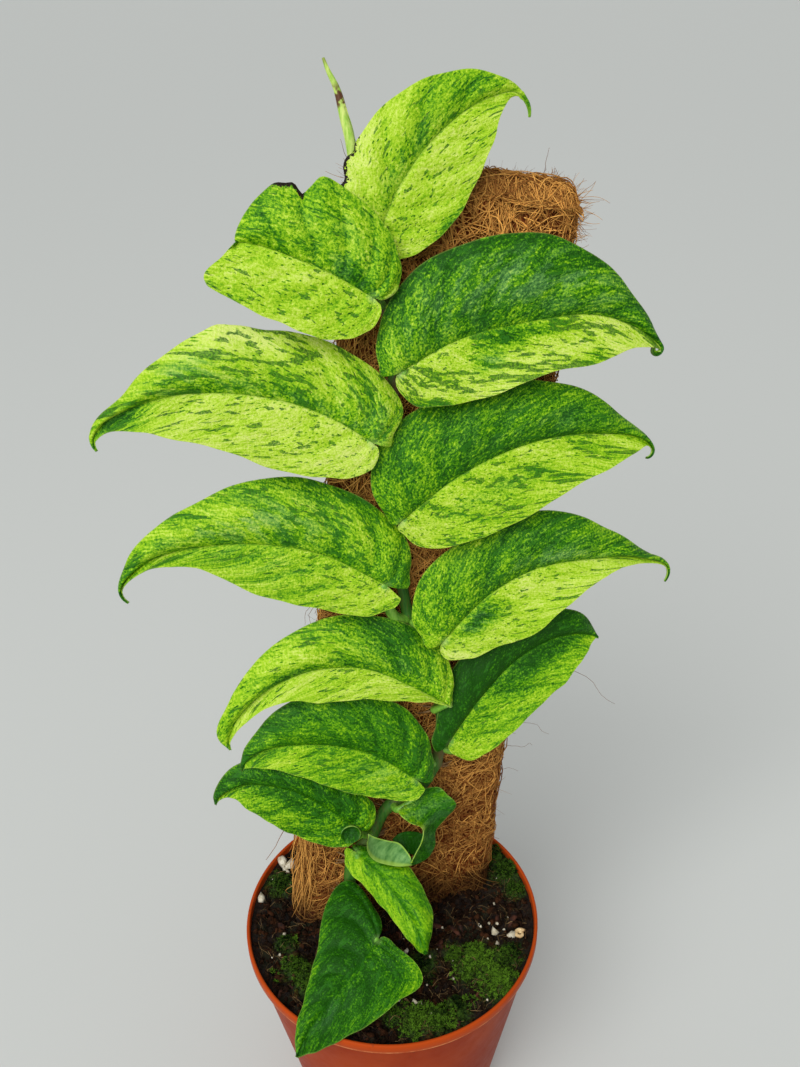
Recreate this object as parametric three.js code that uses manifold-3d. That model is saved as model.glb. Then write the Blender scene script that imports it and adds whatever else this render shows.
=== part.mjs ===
import * as THREE from "three";
import { mergeVertices } from "three/addons/utils/BufferGeometryUtils.js";
import Module from "manifold-3d";

const wasm = await Module();
wasm.setup();

// A variegated shingle plant that climbs a flat coir board in a round nursery pot.
// Millimetres, +Z up. The origin is the middle of the pot's flat foot, and -Y is the leafy front.

// The pot: a thin plastic cone with a rolled lip, a flat foot and a ring of drain holes.
const POT_HEIGHT = 100;
const RIM_RADIUS = 60;
const FOOT_RADIUS = 41;
const POT_WALL = 1.5;
const POT_FLOOR = 2;
const LIP_HEIGHT = 4.5;
const LIP_STEP = 1.7;
const DRAIN_HOLES = 6;
const DRAIN_HOLE_RADIUS = 4;
const DRAIN_RING_RADIUS = 27;

// The soil, filled to just under the lip.
const SOIL_LEVEL = 94;
const SOIL_RELIEF = 1.6;
const CLEARANCE = 0.3;

// The coir board. It leans back and a little to the right, and its face is turned to the left.
const BOARD_WIDTH = 80;
const BOARD_THICKNESS = 18;
const BOARD_ABOVE_SOIL = 290;
const BOARD_IN_SOIL = 54;
const BOARD_TAPER = 0.03;
const BOARD_RELIEF = 0.6;
const BOARD_FOOT = [2.4, 7.5, 95];
const BOARD_TURN = 13;
const BOARD_LEAN_BACK = 10;
const BOARD_LEAN_RIGHT = 6.5;

// The wooden slat in the middle of the board.
const SLAT_WIDTH = 34;
const SLAT_THICKNESS = 6;
const SLAT_BELOW_TOP = 30;

// The climbing stem, given as places on the board's face: across, then up from the soil.
const STEM_RADIUS = 2.4;
const STEM_TIP_RADIUS = 1.9;
const STEM_STAND_OFF = 3.6;
const NODE_SWELL = 0.5;
const STEM_PATH = [
  [-21.5, -22], [-21.6, 5], [-21.5, 30], [-15, 40], [-10.5, 51], [4.5, 63], [9.5, 79], [7.5, 99],
  [5, 117], [-7.5, 133], [-12, 147], [-14, 160], [-15.5, 174], [-20, 189], [-23, 203], [-22, 227],
  [-27, 249], [-32, 268], [-38, 283],
];

// The rolled new leaf at the tip of the stem, as places across, up and out from the board.
const SHOOT_PATH = [
  [-38.3, 283.9, 4], [-41.5, 294, 4.5], [-43, 299, 5], [-45.3, 305, 5], [-48.3, 313, 5], [-51.4, 318, 5],
  [-52.8, 320.8, 5],
];
const SHOOT_RADIUS = 1.9;

// Leaf blades. Widths are measured along the side veins, at these shares of the way to the tip.
const BLADE_THICKNESS = 0.7;
const STALK_RADIUS = 1.5;
const STATIONS = [0, 0.1, 0.2, 0.32, 0.46, 0.6, 0.74, 0.87, 0.95, 1];
const RIGHT = 1;
const LEFT = -1;

// How a blade stands off the board. Each leaf may change these.
const USUAL_LEAF = {
  lift: 13.5,
  lean: 0.12,
  droop: 10,
  crest: 2.5,
  tuck: 1.5,
  flare: 2.5,
  bites: [],
};

// The shingled leaves, lowest first. The midrib runs from the stalk to the tip, across and up.
const BOARD_LEAVES = {
  leaf_03: {
    side: LEFT,
    node: 40,
    midrib: [[-25, 51], [-37, 60], [-51, 68], [-73, 68.5], [-78.7, 63.4]],
    upper: [6, 9.5, 12.5, 13, 11, 10, 10.5, 6, 2.8, 0.5],
    lower: [5, 7, 10, 13, 14, 14, 10.5, 5, 1.6, 0.5],
  },
  leaf_05: {
    side: LEFT,
    node: 72,
    midrib: [[-2, 71], [-21, 82.7], [-45, 87.3], [-66, 82.2], [-69.5, 77.8]],
    upper: [6.5, 9, 12.5, 18, 21.5, 21, 18, 8.5, 3, 0.5],
    lower: [5, 8.5, 11.5, 14, 15.5, 15, 11.5, 8, 3.4, 0.5],
  },
  leaf_06: {
    side: RIGHT,
    node: 79,
    lift: 11,
    midrib: [[10.5, 85.7], [21, 102], [38, 120], [59, 127], [69.5, 125.5]],
    upper: [4, 8, 10, 13, 16.5, 16.5, 15.5, 10.5, 4.5, 0.5],
    lower: [2, 6.5, 13.5, 17, 19, 21.5, 19, 11.5, 4.5, 0.5],
  },
  leaf_07: {
    side: LEFT,
    node: 98,
    midrib: [[-1.4, 107], [-17.4, 115.8], [-47, 116], [-64.6, 106], [-74.5, 88]],
    upper: [9, 14.2, 17.6, 20, 20, 20, 14, 9, 5, 0.5],
    lower: [3, 3.5, 5, 8, 11.5, 10, 5.5, 2.5, 1, 0.5],
  },
  leaf_08: {
    side: RIGHT,
    node: 134.5,
    turn: 10,
    bend: [-1, 133.5, 10],
    midrib: [[2.5, 130.5], [20, 148.5], [36.5, 157.4], [58, 160.7], [81.4, 160.4], [91.9, 156.7], [93.5, 151]],
    upper: [6, 10.5, 19, 24, 22.5, 19.5, 10.5, 3, 1.6, 0.5],
    lower: [5, 9, 14, 18, 22.5, 16.5, 8.5, 3, 1.4, 0.5],
  },
  leaf_09: {
    side: LEFT,
    node: 136,
    turn: -70,
    bend: [-19, 141, 8],
    midrib: [[-21, 153], [-46, 164.7], [-76, 167.8], [-104.7, 160], [-110.8, 154], [-111.5, 147.5]],
    upper: [8, 12, 18.5, 22.5, 24, 21, 13.5, 5.5, 1.6, 0.5],
    lower: [7, 11, 15, 17.5, 18.5, 15.5, 7.5, 2.5, 1.4, 0.5],
  },
  leaf_10: {
    side: RIGHT,
    node: 172,
    midrib: [[-18, 177], [3.5, 194], [29, 205.7], [53, 209], [76.5, 204], [78.8, 199.5]],
    upper: [3, 8, 18.5, 28, 27, 23, 15.5, 5, 1.5, 0.5],
    lower: [4, 7, 15, 21, 24, 23, 17, 9, 1.5, 0.5],
  },
  leaf_11: {
    side: LEFT,
    node: 205,
    bend: [-33.5, 204, 6],
    midrib: [[-30, 205], [-45, 213], [-73.5, 219.5], [-104, 215.5], [-118, 206.5], [-120.5, 200.5]],
    upper: [6, 10, 19, 22, 22, 21.5, 12.5, 4.5, 1.4, 0.5],
    lower: [5, 10, 15.5, 20, 21.5, 18.5, 14, 6.5, 1.4, 0.5],
  },
  leaf_12: {
    side: RIGHT,
    node: 224,
    midrib: [[-23, 229], [-4.5, 240], [22.5, 248], [57.5, 250], [72, 242.5], [73.5, 238]],
    upper: [6, 10, 17, 25.5, 29, 28.5, 20, 9.5, 2.5, 0.5],
    lower: [4, 8, 15.5, 19.5, 20.5, 18, 19, 12.5, 2.5, 0.5],
  },
  leaf_13: {
    side: LEFT,
    node: 250,
    lift: 14.5,
    lean: 0.08,
    bend: [-37, 249, 8],
    midrib: [[-34, 251.5], [-48, 260], [-71, 267.5], [-78, 265], [-85, 257]],
    upper: [5, 10.5, 16.5, 22.5, 25, 24, 12.5, 6, 2.5, 0.5],
    lower: [5, 9, 13.5, 18, 21.5, 23.5, 20.5, 14, 7.5, 0.5],
    bites: [[0.5, 4, 0.03], [0.6, 2, 0.05]],
  },
  leaf_14: {
    side: RIGHT,
    node: 270,
    lift: 8.2,
    lean: 0,
    droop: 6,
    crest: 0.8,
    tuck: 0.5,
    flare: 0.5,
    midrib: [[-33, 270], [-27, 286.5], [-14, 305], [2, 317], [11.5, 319], [15.5, 313]],
    upper: [5, 8, 10.5, 17.5, 18.5, 15.5, 10, 3, 1.4, 0.5],
    lower: [5, 9, 13.5, 17.5, 20.5, 18, 11.5, 3, 1.4, 0.5],
    bites: [[0.36, 2, 0.04]],
  },
};

// The two lowest leaves hang forward over the soil, each in a tilted plane of its own.
const HANGING_LEAVES = {
  leaf_01: {
    side: LEFT,
    node: 14,
    place: [-5.3, -23.5, 112],
    tilt: 18,
    midrib: [[0, 0], [-10.3, -13.2], [-20, -24.3], [-27, -34], [-29.8, -40]],
    upper: [4, 14, 29, 26.5, 18, 12.5, 8.5, 5, 2.4, 0.5],
    lower: [3, 6, 9.5, 22, 21, 17, 13, 8, 3.6, 0.5],
    droop: 8,
    crest: 1,
    tuck: 0.5,
    flare: 1,
  },
  leaf_02: {
    side: RIGHT,
    node: 30,
    place: [-13.4, 0.8, 134],
    tilt: 45,
    midrib: [[0, 0], [8, -7.8], [16, -17.8], [22.8, -28.4], [26.4, -38]],
    upper: [3, 4, 5, 6.5, 10, 11, 10, 6, 3.2, 1],
    lower: [4, 6, 7.5, 8, 7.2, 7, 7, 5.6, 3.5, 1],
    droop: 3,
    crest: 1,
    tuck: 3,
    flare: -2,
  },
};

// The curled leaf: a strip between its outer and its inner edge, across, up and out.
const CURLED_LEAF = {
  node: 54,
  turn: 0,
  outer: [
    [2.8, 63.7, 10], [10.7, 63.4, 12], [16.4, 56.9, 12], [11.2, 45.6, 12], [10, 36, 12], [6, 30.4, 14.5],
    [-5.7, 32, 17.5], [-16.3, 35.5, 18], [-19, 41.5, 17],
  ],
  inner: [
    [-2.9, 57.9, 9], [-8.3, 57, 14], [-1.7, 54.5, 18], [0.8, 52.2, 20.5], [-0.5, 45.2, 21.5],
    [-3.1, 37.1, 21], [-1.2, 36, 14.5], [-8.5, 41.5, 14.5], [-17.4, 45, 16],
  ],
};

// How finely the solids are divided.
const SEED = 7;
const ROUND_SIDES = 48;
const UP_THE_BLADE = 14;
const ACROSS_HALF = 3;

/** Return a repeatable source of numbers from 0 to 1. */
function seededRandom(seed) {
  let state = seed;
  return () => {
    state = (state * 16807) % 2147483647;
    return state / 2147483647;
  };
}

/** Read the smooth curve through (xs, ys) at x: a cubic with slopes from the neighbours. */
function smooth(xs, ys, x) {
  const last = xs.length - 2;
  let i = 0;
  while (i < last && x >= xs[i + 1]) {
    i += 1;
  }
  const rise = (k) => (ys[k + 1] - ys[k]) / (xs[k + 1] - xs[k]);
  const slope = (k) => {
    if (k === 0) {
      return rise(0);
    }
    if (k === xs.length - 1) {
      return rise(k - 1);
    }
    const before = xs[k] - xs[k - 1];
    const after = xs[k + 1] - xs[k];
    return (rise(k - 1) * after + rise(k) * before) / (before + after);
  };
  const h = xs[i + 1] - xs[i];
  const s = (x - xs[i]) / h;
  const start = (2 * s ** 3 - 3 * s ** 2 + 1) * ys[i] + (s ** 3 - 2 * s ** 2 + s) * h * slope(i);
  const end = (3 * s ** 2 - 2 * s ** 3) * ys[i + 1] + (s ** 3 - s ** 2) * h * slope(i + 1);
  return start + end;
}

/** Return each point's share of the way along the broken line through the points. */
function sharesAlong(points) {
  const shares = [0];
  for (let i = 1; i < points.length; i += 1) {
    const step = Math.hypot(...points[i].map((value, axis) => value - points[i - 1][axis]));
    shares.push(shares[i - 1] + step);
  }
  const total = shares[shares.length - 1];
  return shares.map((value) => value / total);
}

/** Return a function that gives the point at a share of the way along a smooth curve. */
function smoothCurve(points) {
  const shares = sharesAlong(points);
  const axes = points[0].map((_, axis) => points.map((point) => point[axis]));
  return (share) => axes.map((values) => smooth(shares, values, THREE.MathUtils.clamp(share, 0, 1)));
}

/** Merge equal vertices and drop triangles without area, ready for the solid modeller. */
function toSolid(geometry) {
  const plain = geometry.clone();
  plain.deleteAttribute("normal");
  plain.deleteAttribute("uv");
  const merged = mergeVertices(plain, 1e-4);
  const corners = merged.index.array;
  const kept = [];
  for (let i = 0; i < corners.length; i += 3) {
    const [a, b, c] = corners.slice(i, i + 3);
    if (a !== b && b !== c && c !== a) {
      kept.push(a, b, c);
    }
  }
  const mesh = new wasm.Mesh({
    numProp: 3,
    vertProperties: new Float32Array(merged.attributes.position.array),
    triVerts: new Uint32Array(kept),
  });
  return new wasm.Manifold(mesh);
}

/** Turn a solid back into a geometry. */
function toGeometry(solid) {
  const mesh = solid.getMesh();
  const geometry = new THREE.BufferGeometry();
  geometry.setAttribute("position", new THREE.BufferAttribute(mesh.vertProperties, 3));
  geometry.setIndex(new THREE.BufferAttribute(mesh.triVerts, 1));
  geometry.computeVertexNormals();
  return geometry;
}

/** Build a geometry from points and corner numbers. */
function fromTriangles(points, corners) {
  const geometry = new THREE.BufferGeometry();
  geometry.setAttribute("position", new THREE.Float32BufferAttribute(points.flat(), 3));
  geometry.setIndex(corners);
  geometry.computeVertexNormals();
  return geometry;
}

/** Make a closed round rod along a curve, with a radius that may change on the way. */
function rod(curve, radiusAt, steps, sides) {
  const path = new THREE.CatmullRomCurve3(
    Array.from({ length: steps + 1 }, (_, i) => new THREE.Vector3(...curve(i / steps))),
  );
  const frames = path.computeFrenetFrames(steps, false);
  const points = [];
  const corners = [];
  for (let i = 0; i <= steps; i += 1) {
    const middle = path.getPointAt(i / steps);
    const radius = radiusAt(i / steps, middle);
    for (let j = 0; j < sides; j += 1) {
      const angle = (j / sides) * 2 * Math.PI;
      const point = middle
        .clone()
        .addScaledVector(frames.normals[i], radius * Math.cos(angle))
        .addScaledVector(frames.binormals[i], radius * Math.sin(angle));
      points.push(point.toArray());
    }
  }
  for (let i = 0; i < steps; i += 1) {
    for (let j = 0; j < sides; j += 1) {
      const a = i * sides + j;
      const b = i * sides + ((j + 1) % sides);
      corners.push(a, b, b + sides, a, b + sides, a + sides);
    }
  }
  const first = points.length;
  points.push(path.getPointAt(0).toArray(), path.getPointAt(1).toArray());
  for (let j = 0; j < sides; j += 1) {
    const next = (j + 1) % sides;
    corners.push(first, next, j, first + 1, steps * sides + j, steps * sides + next);
  }
  return fromTriangles(points, corners);
}

/** Make a thin closed sheet from rows of points, the same triangles on both faces. */
function sheet(rows, thickness) {
  const across = rows[0].length;
  const count = rows.length * across;
  const corners = [];
  for (let i = 0; i < rows.length - 1; i += 1) {
    for (let j = 0; j < across - 1; j += 1) {
      const a = i * across + j;
      const c = a + across + 1;
      corners.push([a, a + 1, c], [a, c, a + across]);
    }
  }
  const middle = rows.flat().map((point) => new THREE.Vector3(...point));
  const normals = middle.map(() => new THREE.Vector3());
  for (const [a, b, c] of corners) {
    const side = new THREE.Vector3().subVectors(middle[b], middle[a]);
    const other = new THREE.Vector3().subVectors(middle[c], middle[a]);
    const facing = side.cross(other);
    [a, b, c].forEach((index) => normals[index].add(facing));
  }
  const at = (sign) => middle.map((point, i) => {
    const reach = (sign * thickness) / 2 / Math.max(normals[i].length(), 1e-9);
    return point.clone().addScaledVector(normals[i], reach).toArray();
  });
  const faces = corners.flatMap(([a, b, c]) => [a, b, c, c + count, b + count, a + count]);
  const last = (rows.length - 1) * across;
  const edge = [];
  for (let j = 0; j < across - 1; j += 1) {
    edge.push([j + 1, j], [last + j, last + j + 1]);
  }
  for (let i = 0; i < rows.length - 1; i += 1) {
    const left = i * across;
    const right = left + across - 1;
    edge.push([left, left + across], [right + across, right]);
  }
  const rim = edge.flatMap(([a, b]) => [a, b, b + count, a, b + count, a + count]);
  return fromTriangles([...at(1), ...at(-1)], [...faces, ...rim]);
}

/** Give the mesh of one named piece. */
function piece(name, geometry, color, roughness) {
  const material = new THREE.MeshStandardMaterial({ color, roughness, metalness: 0 });
  const mesh = new THREE.Mesh(geometry, material);
  mesh.name = name;
  return mesh;
}

/** Give the place of the board's face: across, up and out as the three axes. */
function boardPlace() {
  const back = Math.tan(THREE.MathUtils.degToRad(BOARD_LEAN_BACK));
  const right = Math.tan(THREE.MathUtils.degToRad(BOARD_LEAN_RIGHT));
  const turn = THREE.MathUtils.degToRad(BOARD_TURN);
  const up = new THREE.Vector3(right, back, 1).normalize();
  const across = new THREE.Vector3(Math.cos(turn), Math.sin(turn), 0);
  across.addScaledVector(up, -across.dot(up)).normalize();
  const out = new THREE.Vector3().crossVectors(across, up);
  return new THREE.Matrix4().makeBasis(across, up, out).setPosition(...BOARD_FOOT);
}

const board = boardPlace();

/** Radius of the pot's outer face at a height. */
function potRadius(z) {
  const top = RIM_RADIUS - LIP_STEP;
  return FOOT_RADIUS + ((top - FOOT_RADIUS) * z) / (POT_HEIGHT - LIP_HEIGHT);
}

/** Turn a profile of radius and height into a solid of revolution about +Z. */
function turned(profile, sides) {
  const points = profile.map(([radius, z]) => new THREE.Vector2(radius, z));
  return new THREE.LatheGeometry(points, sides).rotateX(Math.PI / 2);
}

function makePot() {
  const under = POT_HEIGHT - LIP_HEIGHT;
  const profile = [
    [0, 0], [FOOT_RADIUS - 1, 0], [FOOT_RADIUS, 1],
    [potRadius(under), under], [RIM_RADIUS - 0.5, under], [RIM_RADIUS, under + 0.6],
    [RIM_RADIUS, POT_HEIGHT - 1], [RIM_RADIUS - 1, POT_HEIGHT], [RIM_RADIUS - 2, POT_HEIGHT],
    [potRadius(under) - POT_WALL, under], [potRadius(POT_FLOOR) - POT_WALL, POT_FLOOR], [0, POT_FLOOR],
  ];
  let pot = toSolid(turned(profile, ROUND_SIDES));
  for (let i = 0; i < DRAIN_HOLES; i += 1) {
    const angle = (i / DRAIN_HOLES) * 2 * Math.PI;
    const hole = new THREE.CylinderGeometry(DRAIN_HOLE_RADIUS, DRAIN_HOLE_RADIUS, 3 * POT_FLOOR, 16);
    hole.rotateX(Math.PI / 2);
    hole.translate(DRAIN_RING_RADIUS * Math.cos(angle), DRAIN_RING_RADIUS * Math.sin(angle), POT_FLOOR / 2);
    pot = pot.subtract(toSolid(hole));
  }
  return piece("pot", toGeometry(pot), 0xb4532f, 0.55);
}

/** Height of the soil's surface over its level: soft lumps that fade out at the wall. */
function soilBump(x, y, reach) {
  const lumps = Math.sin(x * 0.21 + 1.3) * Math.cos(y * 0.17 - 0.4) + 0.6 * Math.sin(x * 0.43 - y * 0.37);
  const fade = 1 - (Math.hypot(x, y) / reach) ** 4;
  return SOIL_RELIEF * lumps * Math.max(fade, 0);
}

function makeSoil() {
  const bottom = POT_FLOOR + CLEARANCE;
  const wallGap = POT_WALL + CLEARANCE;
  const reach = potRadius(SOIL_LEVEL) - wallGap;
  const rings = 9;
  const profile = [[0, bottom], [potRadius(bottom) - wallGap, bottom], [reach, SOIL_LEVEL]];
  for (let i = rings - 1; i >= 0; i -= 1) {
    profile.push([(reach * i) / rings, SOIL_LEVEL]);
  }
  const geometry = turned(profile, ROUND_SIDES);
  const places = geometry.attributes.position;
  for (let i = 0; i < places.count; i += 1) {
    if (places.getZ(i) > SOIL_LEVEL - 0.5) {
      places.setZ(i, SOIL_LEVEL + soilBump(places.getX(i), places.getY(i), reach));
    }
  }
  const depth = BOARD_IN_SOIL + CLEARANCE;
  const slot = new THREE.BoxGeometry(
    BOARD_WIDTH + 2 * (BOARD_RELIEF + CLEARANCE),
    2 * depth,
    BOARD_THICKNESS + 2 * (BOARD_RELIEF + CLEARANCE),
  );
  slot.translate(0, 0, -BOARD_THICKNESS / 2).applyMatrix4(board);
  const bore = rod(stemCurve, () => STEM_RADIUS + NODE_SWELL + CLEARANCE, 40, 12);
  bore.translate(0, -CLEARANCE, 0).applyMatrix4(board);
  const soil = toSolid(geometry).subtract(toSolid(slot)).subtract(toSolid(bore));
  return piece("soil", toGeometry(soil), 0x2b1d14, 1);
}

/** Shift a board point in or out by the coir's lumps, and narrow the board a little upwards. */
function roughen(point) {
  const { x, y, z } = point;
  const share = (y + BOARD_IN_SOIL) / (BOARD_ABOVE_SOIL + BOARD_IN_SOIL);
  const lumps = Math.sin(x * 0.9 + y * 0.31) * Math.sin(y * 0.67 - x * 0.4 + z);
  const narrowed = x * (1 - BOARD_TAPER * share);
  const inward = z > -BOARD_THICKNESS / 2 ? -1 : 1;
  point.set(narrowed, y, z + inward * BOARD_RELIEF * (0.5 - 0.5 * lumps));
}

/** Make one stray coir fibre: a thin three-sided spike, rooted in the board. */
function fibre(root, along, length, radius) {
  const spike = new THREE.ConeGeometry(radius, length, 3, 1);
  spike.translate(0, length / 2 - 2, 0);
  const turn = new THREE.Quaternion().setFromUnitVectors(new THREE.Vector3(0, 1, 0), along);
  return spike.applyQuaternion(turn).translate(...root);
}

function makeBoard() {
  const length = BOARD_ABOVE_SOIL + BOARD_IN_SOIL;
  const geometry = new THREE.BoxGeometry(BOARD_WIDTH, length, BOARD_THICKNESS, 9, 34, 2);
  geometry.translate(0, (BOARD_ABOVE_SOIL - BOARD_IN_SOIL) / 2, -BOARD_THICKNESS / 2);
  const places = geometry.attributes.position;
  const point = new THREE.Vector3();
  for (let i = 0; i < places.count; i += 1) {
    point.fromBufferAttribute(places, i);
    roughen(point);
    places.setXYZ(i, ...point);
  }
  let solid = toSolid(geometry);
  const random = seededRandom(SEED);
  const halfWidth = (BOARD_WIDTH / 2) * (1 - BOARD_TAPER);
  for (let i = 0; i < 70; i += 1) {
    const across = (2 * random() - 1) * (halfWidth - 2);
    const root = [across, BOARD_ABOVE_SOIL, -2 - random() * (BOARD_THICKNESS - 4)];
    const along = new THREE.Vector3(across / 60 + random() - 0.5, 0.6, random() - 0.5).normalize();
    solid = solid.add(toSolid(fibre(root, along, 6 + 8 * random(), 0.5)));
  }
  for (let i = 0; i < 50; i += 1) {
    const side = i % 2 ? 1 : -1;
    const root = [side * halfWidth, 8 + random() * (BOARD_ABOVE_SOIL - 12), -3 - random() * 12];
    const along = new THREE.Vector3(side, 1.2 * random() - 0.5, 1.2 * random() - 0.6).normalize();
    solid = solid.add(toSolid(fibre(root, along, 5 + 5 * random(), 0.5)));
  }
  const slatTop = BOARD_ABOVE_SOIL - SLAT_BELOW_TOP + CLEARANCE;
  const slot = new THREE.BoxGeometry(
    SLAT_WIDTH + 2 * CLEARANCE,
    slatTop + BOARD_IN_SOIL + 5,
    SLAT_THICKNESS + 2 * CLEARANCE,
  );
  slot.translate(0, (slatTop - BOARD_IN_SOIL - 5) / 2, -BOARD_THICKNESS / 2);
  return piece("coir_board", toGeometry(solid.subtract(toSolid(slot))), 0x8a5a2c, 1);
}

function makeSlat() {
  const length = BOARD_ABOVE_SOIL - SLAT_BELOW_TOP + BOARD_IN_SOIL;
  const geometry = new THREE.BoxGeometry(SLAT_WIDTH, length, SLAT_THICKNESS);
  geometry.translate(0, length / 2 - BOARD_IN_SOIL, -BOARD_THICKNESS / 2);
  return piece("board_slat", geometry, 0xb08a5a, 0.8);
}

const stemCurve = smoothCurve(STEM_PATH.map(([across, up]) => [across, up, STEM_STAND_OFF]));
const nodeHeights = [...Object.values(BOARD_LEAVES), ...Object.values(HANGING_LEAVES), CURLED_LEAF]
  .map((leaf) => leaf.node);

/** Radius of the stem at a height: a slow taper with a ring of swelling at each leaf. */
function stemRadius(up) {
  const share = THREE.MathUtils.clamp(up / BOARD_ABOVE_SOIL, 0, 1);
  const rings = nodeHeights.map((node) => NODE_SWELL * Math.exp(-(((up - node) / 2.5) ** 2)));
  return STEM_RADIUS + (STEM_TIP_RADIUS - STEM_RADIUS) * share + Math.max(...rings);
}

/** Share of the way along the stem where it reaches a height. */
function stemShareAt(up) {
  let low = 0;
  let high = 1;
  for (let i = 0; i < 30; i += 1) {
    const middle = (low + high) / 2;
    if (stemCurve(middle)[1] < up) {
      low = middle;
    } else {
      high = middle;
    }
  }
  return low;
}

/** Point at a distance off the stem's surface, at a height, turned about the stem. */
function besideStem(up, turnDegrees, gap) {
  const share = stemShareAt(up);
  const middle = new THREE.Vector3(...stemCurve(share));
  const ahead = new THREE.Vector3(...stemCurve(share + 0.005));
  const along = ahead.sub(middle).normalize();
  const out = new THREE.Vector3(0, 0, 1);
  const aside = new THREE.Vector3().crossVectors(along, out).normalize();
  const turn = THREE.MathUtils.degToRad(turnDegrees);
  const facing = out.multiplyScalar(Math.cos(turn)).addScaledVector(aside, Math.sin(turn));
  return middle.addScaledVector(facing, stemRadius(up) + gap);
}

function makeStem() {
  let solid = toSolid(rod(stemCurve, (share, middle) => stemRadius(middle.y), 64, 7));
  const random = seededRandom(SEED + 1);
  for (const node of nodeHeights) {
    const root = besideStem(node - 3, node % 2 ? 90 : -90, -1.2);
    const side = node % 2 ? 1 : -1;
    const reach = 7 + 6 * random();
    const path = smoothCurve([
      root.toArray(),
      [root.x + side * 0.4 * reach, root.y - 2, 1.9],
      [root.x + side * reach, root.y - 3 - 4 * random(), 1.2],
    ]);
    solid = solid.add(toSolid(rod(path, (share) => 0.8 - 0.3 * share, 5, 5)));
  }
  return piece("stem", toGeometry(solid), 0x5d7a2c, 0.6);
}

function makeShoot() {
  const taper = (share) => 0.35 + (SHOOT_RADIUS - 0.35) * (1 - share ** 2.2);
  return piece("new_shoot", rod(smoothCurve(SHOOT_PATH), taper, 14, 7), 0xb9d87a, 0.5);
}

/** Distance of a blade point in front of the board, or over its own tilted plane. */
function bladeDepth(leaf, up, share, reach, upperHalf) {
  const arch = Math.sin(Math.PI * (0.12 + 0.8 * share));
  const stand = leaf.lift + leaf.lean * (leaf.midrib[0][1] - up);
  const fall = leaf.droop * Math.max(share - 0.35, 0) ** 2;
  const bulge = Math.sin(Math.PI * reach);
  const upper = leaf.crest * bulge - leaf.tuck * reach ** 2;
  const lower = leaf.flare * reach ** 1.6 - 0.8 * bulge;
  return stand - fall + arch * (upperHalf ? upper : lower);
}

/** Point of a blade: the share t of the way to the tip, and the reach from midrib to margin. */
function bladePoint(leaf, t, reach, upperHalf) {
  const midrib = smoothCurve(leaf.midrib);
  const share = t ** 1.5;
  const [across, up] = midrib(share);
  const before = midrib(share - 0.001);
  const after = midrib(share + 0.001);
  const heading = Math.atan2(after[1] - before[1], after[0] - before[0]);
  const veinAngle = THREE.MathUtils.degToRad(165 - 132 * t ** 0.75);
  const angle = heading + leaf.side * (upperHalf ? 1 : -1) * veinAngle;
  let width = smooth(STATIONS, upperHalf ? leaf.upper : leaf.lower, t);
  if (upperHalf) {
    for (const [middle, depth, spread] of leaf.bites) {
      width -= depth * Math.exp(-(((t - middle) / spread) ** 2));
    }
  }
  const x = across + reach * width * Math.cos(angle);
  const y = up + reach * width * Math.sin(angle);
  return [x, y, bladeDepth(leaf, y, share, reach, upperHalf)];
}

function blade(leaf) {
  const rows = [];
  for (let i = 0; i <= UP_THE_BLADE; i += 1) {
    const row = [];
    for (let j = -ACROSS_HALF; j <= ACROSS_HALF; j += 1) {
      row.push(bladePoint(leaf, i / UP_THE_BLADE, Math.abs(j) / ACROSS_HALF, j > 0));
    }
    rows.push(leaf.side === LEFT ? row : row.reverse());
  }
  return toSolid(sheet(rows, BLADE_THICKNESS));
}

/** Make the leaf stalk from just off the stem, by way of its bend, into the blade's base. */
function stalk(leaf, base) {
  const root = besideStem(leaf.node, leaf.turn, CLEARANCE);
  const away = besideStem(leaf.node, leaf.turn, 3.5);
  const bend = leaf.bend ? new THREE.Vector3(...leaf.bend) : away;
  const path = new THREE.CubicBezierCurve3(root, away, bend, base);
  const curve = (share) => path.getPoint(share).toArray();
  return toSolid(rod(curve, (share) => STALK_RADIUS - 0.3 * share, 7, 6));
}

function makeBoardLeaf(name, given) {
  const leaf = { ...USUAL_LEAF, turn: 50 * given.side, ...given };
  const base = new THREE.Vector3(...bladePoint(leaf, 0.02, 0, true));
  const solid = blade(leaf).add(stalk(leaf, base));
  return piece(name, toGeometry(solid), 0x7dab35, 0.5);
}

function makeHangingLeaf(name, given) {
  const leaf = { ...USUAL_LEAF, ...given, turn: 0, lift: 0, lean: 0 };
  const tilted = new THREE.Group();
  tilted.position.set(...leaf.place);
  tilted.rotation.x = THREE.MathUtils.degToRad(leaf.tilt);
  tilted.updateMatrix();
  const toBoard = board.clone().invert().multiply(tilted.matrix);
  const base = new THREE.Vector3(...bladePoint(leaf, 0.02, 0, true)).applyMatrix4(toBoard);
  const stem = toGeometry(stalk(leaf, base)).applyMatrix4(toBoard.clone().invert());
  tilted.add(piece(name, toGeometry(blade(leaf).add(toSolid(stem))), 0x4d8a2c, 0.5));
  return tilted;
}

function makeCurledLeaf() {
  const outer = smoothCurve(CURLED_LEAF.outer);
  const inner = smoothCurve(CURLED_LEAF.inner);
  const steps = 24;
  const rows = [];
  for (let i = 0; i <= steps; i += 1) {
    const from = outer(i / steps);
    const to = inner(i / steps);
    rows.push([0, 0.25, 0.5, 0.75, 1].map((reach) => from.map((value, axis) => {
      return value + reach * (to[axis] - value);
    })));
  }
  const start = new THREE.Vector3(...rows[0][2]);
  const strip = toSolid(sheet(rows, BLADE_THICKNESS));
  const solid = strip.add(stalk(CURLED_LEAF, start));
  return piece("leaf_04", toGeometry(solid), 0x4d8a2c, 0.5);
}

const climbing = new THREE.Group();
climbing.applyMatrix4(board);
climbing.add(makeBoard(), makeSlat(), makeStem(), makeShoot(), makeCurledLeaf());
for (const [name, leaf] of Object.entries(BOARD_LEAVES)) {
  climbing.add(makeBoardLeaf(name, leaf));
}

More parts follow.
